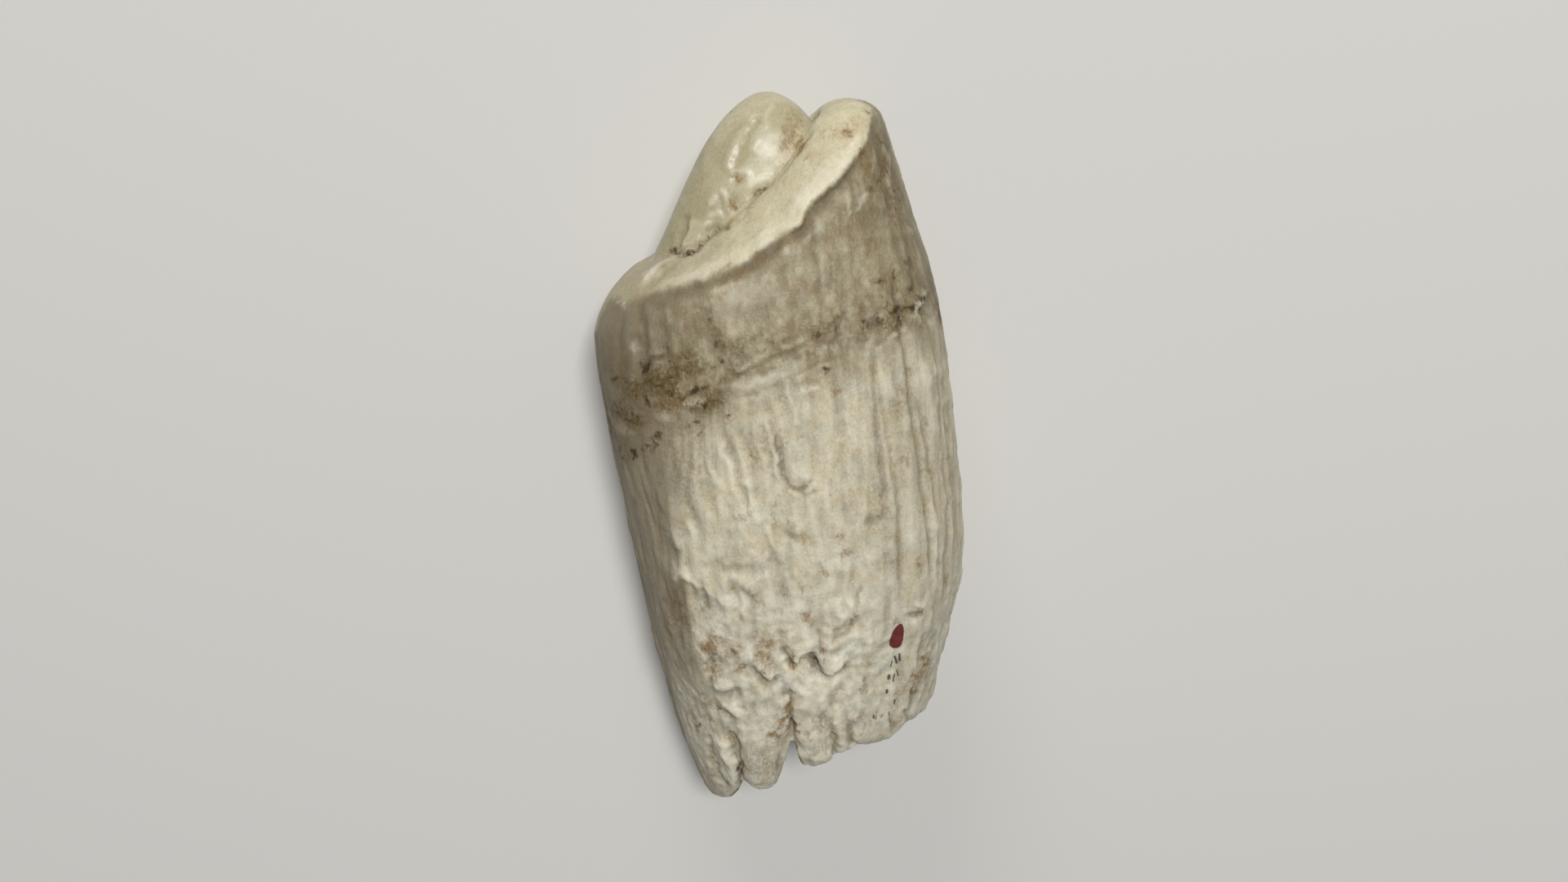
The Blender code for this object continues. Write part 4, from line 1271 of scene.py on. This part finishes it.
class Shop:
    """Makes the nodes of one material."""

    def __init__(self, material: bpy.types.Material) -> None:
        """Starts from a material with only its shader and output."""
        material.use_nodes = True
        self.tree = material.node_tree
        self.shader = self.tree.nodes["Principled BSDF"]

    def node(self, kind: str, settings: dict[str, Any], values: dict[Any, Any], output: Any = 0) -> Wire:
        """Adds a node.

        Args:
            kind: the node's type.
            settings: its properties, set before its sockets.
            values: a number, a tuple or a Wire for each input, by name or number.
            output: the name or number of the output to return.

        Returns:
            That output.
        """
        made = self.tree.nodes.new(kind)
        for name, value in settings.items():
            setattr(made, name, value)
        for name, value in values.items():
            self.put(made.inputs[name], value)
        return Wire(self, made.outputs[output])

    def put(self, socket: bpy.types.NodeSocket, value: Any) -> None:
        """Links a Wire to a socket, or sets the socket's value."""
        if isinstance(value, Wire):
            self.tree.links.new(value.socket, socket)
        else:
            socket.default_value = value

    def math(self, operation: str, *values: Any, clamp: bool = False) -> Wire:
        """A Math node over two or three values."""
        settings = {"operation": operation, "use_clamp": clamp}
        return self.node("ShaderNodeMath", settings, dict(enumerate(values)))

    def mask(self, name: str) -> Wire:
        """A mask of the surface, by its attribute's name."""
        return self.node("ShaderNodeAttribute", {"attribute_name": name}, {}, "Fac")

    def place(self, stretch: Sequence[float] = (1, 1, 1)) -> Wire:
        """The place on the piece in millimetres, with each axis divided by its stretch."""
        coordinates = self.node("ShaderNodeTexCoord", {}, {}, "Object")
        scale = tuple(1 / MM / s for s in stretch)
        return self.node("ShaderNodeVectorMath", {"operation": "MULTIPLY"}, {0: coordinates, 1: scale})

    def noise(self, place: Wire, size: float, detail: float = 3.0, roughness: float = 0.55) -> Wire:
        """Smooth noise about 0.5.

        Args:
            place: where to look it up, in millimetres.
            size: from one lump to the next, in millimetres.
            detail: how many finer sizes are added.
            roughness: how strong those are.

        Returns:
            The noise.
        """
        values = {"Vector": place, "Scale": 1 / size, "Detail": detail, "Roughness": roughness}
        return self.node("ShaderNodeTexNoise", {"noise_dimensions": "3D"}, values, "Fac")

    def mix(self, share: Any, first: Any, second: Any, blend: str = "MIX") -> Wire:
        """Mixes two colours, the second by its share."""
        settings = {"data_type": "RGBA", "blend_type": blend, "clamp_factor": True}
        return self.node("ShaderNodeMix", settings, {0: share, 6: first, 7: second}, 2)

    def parts(self, vector: Wire) -> tuple[Wire, Wire, Wire]:
        """A vector's X, Y and Z."""
        split = self.tree.nodes.new("ShaderNodeSeparateXYZ")
        self.put(split.inputs[0], vector)
        return Wire(self, split.outputs[0]), Wire(self, split.outputs[1]), Wire(self, split.outputs[2])


def colour(red: int, green: int, blue: int) -> tuple[float, float, float, float]:
    """A colour as seen on a screen, from 0 to 255, as the linear colour that a shader takes."""
    def linear(level: int) -> float:
        share = level / 255
        return share / 12.92 if share <= 0.04045 else ((share + 0.055) / 1.055) ** 2.4

    return linear(red), linear(green), linear(blue), 1.0


@dataclass(frozen=True)
class InkStroke:
    """A short stroke of ink on the root. It stands for writing and isn't a letter.

    Attributes:
        at: its middle, in millimetres along X and Y.
        length: in millimetres.
        turn: how far it turns from the tooth's length, in degrees.
        width: its half width in millimetres.
    """

    at: tuple[float, float]
    length: float
    turn: float
    width: float = 0.16


@dataclass(frozen=True)
class PaintDot:
    """The leaf-shaped dot of red paint on the root, in millimetres."""

    at: tuple[float, float] = (17.0, -28.9)
    half_width: float = 1.12
    half_length: float = 2.5
    turn: float = -15.0
    taper: float = 0.24


INK_STROKES = (
    InkStroke((16.5, -33.8), 1.6, 12, 0.22),
    InkStroke((17.2, -33.4), 1.5, 0, 0.20),
    InkStroke((15.7, -34.5), 1.2, -16, 0.11),
    InkStroke((15.1, -37.2), 0.6, -6, 0.30),
    InkStroke((16.0, -37.6), 1.5, -10, 0.13),
    InkStroke((16.7, -36.8), 1.4, 8, 0.12),
    InkStroke((14.6, -40.2), 0.5, -8, 0.28),
    InkStroke((15.9, -43.0), 0.6, -10, 0.20),
    InkStroke((14.8, -45.3), 1.0, -6, 0.10),
)


@dataclass(frozen=True)
class IvoryFinish:
    """Old tooth: polished on its core, satin on its ring and sides, and matt on its root."""

    side: tuple = colour(141, 129, 98)
    side_warm: tuple = colour(140, 115, 78)
    side_grey: tuple = colour(122, 114, 92)
    side_pale: tuple = colour(176, 167, 136)
    root_upper: tuple = colour(206, 199, 173)
    root_lower: tuple = colour(226, 222, 203)
    root_grey: tuple = colour(176, 170, 150)
    root_warm: tuple = colour(196, 178, 138)
    flank_shade: tuple = colour(122, 111, 89)
    ring: tuple = colour(206, 197, 164)
    ring_brown: tuple = colour(180, 160, 120)
    core: tuple = colour(190, 182, 150)
    core_olive: tuple = colour(166, 157, 124)
    gum_stain_and_shade: tuple = colour(98, 79, 44)
    dark: tuple = colour(58, 42, 20)
    rust_and_shade: tuple = colour(134, 103, 58)
    pale_and_highlight: tuple = colour(234, 228, 206)
    # Dirt and painted shade in hollows, and fine dark flecks.
    dirt_and_shade: tuple = colour(104, 91, 68)
    cavity: tuple = colour(140, 124, 96)
    red: tuple = colour(104, 14, 22)
    ink: tuple = colour(38, 36, 40)
    bump: float = 0.6
    bump_distance: float = 0.00026

    def _ground(self, shop: Shop) -> Wire:
        """The colour before stains: side, root, ring, core and pulp cavity, each mottled, with painted shade
        on the flanks.
        """
        place = shop.place()
        blotch = shop.noise(place, 4.6, 6.0, 0.66).step(0.40, 0.62)
        cloud = shop.noise(shop.place((1.0, 1.6, 1.0)), 3.2, 5.0, 0.6).step(0.42, 0.68)
        streak = shop.noise(shop.place((1.0, 7.0, 1.0)), 1.6, 4.0).step(0.36, 0.66)
        side = shop.mix(blotch * 0.55, self.side, self.side_warm)
        side = shop.mix(streak * 0.35, side, self.side_grey)
        side = shop.mix(cloud * 0.75, side, self.side_pale)
        root = shop.mix(shop.mask("low"), self.root_upper, self.root_lower)
        root = shop.mix(streak * 0.5, root, self.root_grey)
        root = shop.mix(blotch * 0.45, root, self.root_warm)
        root = shop.mix(cloud * 0.35, root, self.pale_and_highlight)
        ground = shop.mix(shop.mask("root"), side, root)
        ring = shop.mix(cloud * 0.5, self.ring, self.ring_brown)
        ground = shop.mix(shop.mask("ring"), ground, ring)
        core = shop.mix(shop.noise(place, 7.0, 3.0).step(0.4, 0.6) * 0.6, self.core, self.core_olive)
        core = shop.mix(cloud * 0.18, core, self.ring_brown)
        ground = shop.mix(shop.mask("core"), ground, core)
        # Painted shade on the flanks and the crown's left part, partly their own duller tone.
        ground = shop.mix(shop.mask("flank_shade") * 0.8, ground, self.flank_shade)
        ground = shop.mix(shop.mask("cavity") * 0.8, ground, self.cavity)
        fine = shop.noise(shop.place((1.0, 1.4, 1.0)), 0.42, 2.0, 0.6)
        flecks = fine.step(0.50, 0.72) * (0.12 + shop.mask("root") * 0.14) * (1 - shop.mask("flank_shade") * 0.8)
        ground = shop.mix(flecks, ground, self.pale_and_highlight)
        return shop.mix(fine.step(0.50, 0.28) * 0.18, ground, self.dirt_and_shade)

    def _stains(self, shop: Shop, ground: Wire) -> Wire:
        """The ground with painted highlight on crests, dirt and painted shade in hollows, gum line, rust and
        dark spots.
        """
        grit = shop.noise(shop.place((1.0, 1.4, 1.0)), 0.55, 3.0, 0.65)
        ragged = grit.step(0.36, 0.62)
        # Painted highlight on crests.
        ground = shop.mix(shop.mask("crest_highlight") * (0.5 - shop.mask("flank_shade") * 0.3), ground, self.pale_and_highlight)
        # Pale marks and painted highlights.
        ground = shop.mix(shop.mask("pale_and_highlight") * 0.6, ground, self.pale_and_highlight)
        # Gum-line stains, and painted shade from some heavy spots.
        ground = shop.mix((shop.mask("gum_stain_and_shade") * (ragged * 0.75 + 0.55)).clamped() * 0.92, ground, self.gum_stain_and_shade)
        # Dirt and painted shade in hollows.
        hollow_dirt_and_shade = (shop.mask("hollow_dirt_and_shade") * (ragged * 0.5 + 0.9)).clamped()
        hollow_darkening = hollow_dirt_and_shade * (0.75 - shop.mask("core") * 0.35 - shop.mask("root") * 0.15)
        ground = shop.mix(hollow_darkening, ground, self.dirt_and_shade)
        # Rust, and painted shadow under the rim's edge.
        rust_and_shade = (shop.mask("rust_and_shade") + (grit - 0.5) * 1.6 * shop.mask("rust_and_shade").step(0.0, 0.3)).step(0.0, 1.15)
        ground = shop.mix(rust_and_shade * 0.9, ground, self.rust_and_shade)
        speck = shop.noise(shop.place((1.0, 1.5, 1.0)), 0.45, 2.0).step(0.60, 0.72)
        rusty = shop.mask("gum_stain_and_shade") * 0.7 + shop.mask("rust_and_shade") * 0.7
        speckled = (rusty + shop.mask("ring") * 0.12 + 0.05).clamped() * speck
        ground = shop.mix(speckled * 0.75, ground, self.dark)
        dark = (shop.mask("dark") + (grit - 0.5) * 1.3 * shop.mask("dark").step(0.0, 0.4)).step(0.14, 0.95)
        return shop.mix(dark * 0.9, ground, self.dark)

    def _marks(self, shop: Shop, ground: Wire) -> Wire:
        """The ground with the red dot and the ink strokes on it."""
        across, along, up = shop.parts(shop.place())
        above = up.step(28.0, 32.0)
        wobble = (shop.noise(shop.place(), 0.7, 2.0) - 0.5) * 0.35
        dot = PaintDot()
        side, run = self._turned(across, along, dot.at, dot.turn)
        run = run / dot.half_length
        reach = side / (dot.half_width * (1 - run * dot.taper))
        leaf = (reach * reach + shop.math("ABSOLUTE", run) ** 3 + wobble).step(1.1, 0.92)
        ground = shop.mix(leaf * above * 0.95, ground, self.red)
        inked: Any = 0.0
        for stroke in INK_STROKES:
            side, run = self._turned(across, along, stroke.at, stroke.turn)
            past_end = shop.math("MAXIMUM", shop.math("ABSOLUTE", run) - stroke.length / 2, 0.0)
            distance = shop.math("SQRT", side * side + past_end * past_end) + wobble * 0.25
            inked = shop.math("MAXIMUM", distance.step(stroke.width * 1.4, stroke.width * 0.5), inked)
        return shop.mix(inked * above * 0.85, ground, self.ink)

    @staticmethod
    def _turned(across: Wire, along: Wire, at: tuple[float, float], turn: float) -> tuple[Wire, Wire]:
        """A place's distance across and along a mark that is turned about its middle."""
        cosine, sine = math.cos(math.radians(turn)), math.sin(math.radians(turn))
        x, y = across - at[0], along - at[1]
        return x * cosine + y * sine, y * cosine - x * sine

    def make(self) -> bpy.types.Material:
        """Makes the material.

        Returns:
            The finished material.
        """
        material = bpy.data.materials.new("old_ivory")
        shop = Shop(material)
        base = self._marks(shop, self._stains(shop, self._ground(shop)))
        shop.put(shop.shader.inputs["Base Color"], base)
        polish = (shop.mask("core") * (0.12 - shop.mask("rust_and_shade") * 0.2) + shop.mask("ring") * 0.05).clamped()
        worked = shop.mask("hollow_dirt_and_shade") + shop.mask("crest_highlight")
        matt = shop.mask("root") * 0.10 + worked * 0.12 + shop.mask("cavity") * 0.1
        uneven = (shop.noise(shop.place(), 2.2, 3.0) - 0.5) * 0.22
        rough = (shop.mask("rust_and_shade") + shop.mask("hollow_dirt_and_shade") + shop.mask("dark")).clamped()
        shop.put(shop.shader.inputs["Roughness"], (0.50 - polish + matt + uneven).clamped())
        smoothness = 1 - shop.mask("core") * 0.85
        pores = shop.noise(shop.place(), 0.45, 3.0, 0.6)
        fibres = shop.noise(shop.place((1.0, 9.0, 1.0)), 0.55, 3.0, 0.6)
        relief = (pores * 0.5 + fibres * 0.7) * smoothness
        bump = shop.node("ShaderNodeBump", {}, {
            "Strength": self.bump, "Distance": self.bump_distance, "Height": relief,
        }, "Normal")
        shop.put(shop.shader.inputs["Normal"], bump)
        shop.shader.inputs["Metallic"].default_value = 0.0
        glossy = shop.mask("core") * 0.16 + shop.mask("ring") * 0.1
        shop.put(shop.shader.inputs["Coat Weight"], glossy * (1 - rough))
        shop.shader.inputs["Coat Roughness"].default_value = 0.26
        shop.shader.inputs["IOR"].default_value = 1.40
        shop.shader.inputs["Subsurface Weight"].default_value = 0.08
        shop.shader.inputs["Subsurface Radius"].default_value = (1.0, 0.7, 0.45)
        shop.shader.inputs["Subsurface Scale"].default_value = 0.0012
        return material


@dataclass(frozen=True)
class Lamp:
    """A square light that points at the tooth.

    Attributes:
        name: of the light.
        way: the way from the tooth to the light.
        distance: from the tooth, in metres.
        size: of its side, in metres.
        power: in watts.
    """

    name: str
    way: tuple[float, float, float]
    distance: float
    size: float
    power: float


@dataclass
class Studio:
    """The floor, the lights and the camera.

    Attributes:
        view: the photograph's camera.
        lamps: the lights.
        floor_size: of the floor's side, in metres.
        floor_colour: of the floor.
        sky: the strength of the light from all round.
    """

    view: PhotoView
    lamps: tuple[Lamp, ...] = (
        Lamp("key_light", (0.12, 0.34, 0.92), 1.5, 0.30, 17.9),
        Lamp("top_light", (-0.10, 1.0, 0.40), 1.5, 0.5, 5.5),
    )
    floor_size: float = 4.0
    floor_colour: tuple = colour(214, 212, 207)
    sky: float = 0.10

    def lay_floor(self) -> bpy.types.Object:
        """Makes the pale floor under the tooth."""
        mesh = bmesh.new()
        bmesh.ops.create_grid(mesh, x_segments=1, y_segments=1, size=self.floor_size / 2)
        data = bpy.data.meshes.new("floor")
        mesh.to_mesh(data)
        mesh.free()
        floor = put_in_scene("floor", data)
        material = bpy.data.materials.new("floor_paper")
        material.use_nodes = True
        shader = material.node_tree.nodes["Principled BSDF"]
        shader.inputs["Base Color"].default_value = self.floor_colour
        shader.inputs["Roughness"].default_value = 0.8
        shader.inputs["Specular IOR Level"].default_value = 0.2
        data.materials.append(material)
        return floor

    def hang_light(self, lamp: Lamp) -> None:
        """Hangs a light."""
        data = bpy.data.lights.new(lamp.name, "AREA")
        data.shape = "SQUARE"
        data.size = lamp.size
        data.energy = lamp.power
        light = put_in_scene(lamp.name, data)
        towards = Vector(lamp.way).normalized()
        light.location = Vector(self.view.target) * MM + towards * lamp.distance
        light.rotation_mode = "QUATERNION"
        light.rotation_quaternion = towards.to_track_quat("Z", "Y")

    def set_sky(self) -> None:
        """Lights the scene softly from all round."""
        world = bpy.data.worlds.new("studio")
        world.use_nodes = True
        background = world.node_tree.nodes["Background"]
        background.inputs["Color"].default_value = (1, 1, 1, 1)
        background.inputs["Strength"].default_value = self.sky
        bpy.context.scene.world = world
        bpy.context.scene.view_settings.view_transform = "Standard"

    def build(self) -> None:
        """Sets up the whole studio."""
        self.lay_floor()
        self.set_sky()
        for lamp in self.lamps:
            self.hang_light(lamp)
        self.view.make_camera()


def main() -> None:
    """Builds the tooth's surface and the studio."""
    logging.basicConfig(level=logging.INFO, format="%(message)s")
    view = PhotoView()
    Studio(view).build()
    surface = ToothSurface(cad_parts[NODE], view).build()
    surface.data.materials.clear()
    surface.data.materials.append(IvoryFinish().make())
    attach(surface, BODY)
    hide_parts(NODE)
    made = surface.data
    log.info("%s: %d vertices, %d faces", surface.name, len(made.vertices), len(made.polygons))


if __name__ == "__main__":
    main()
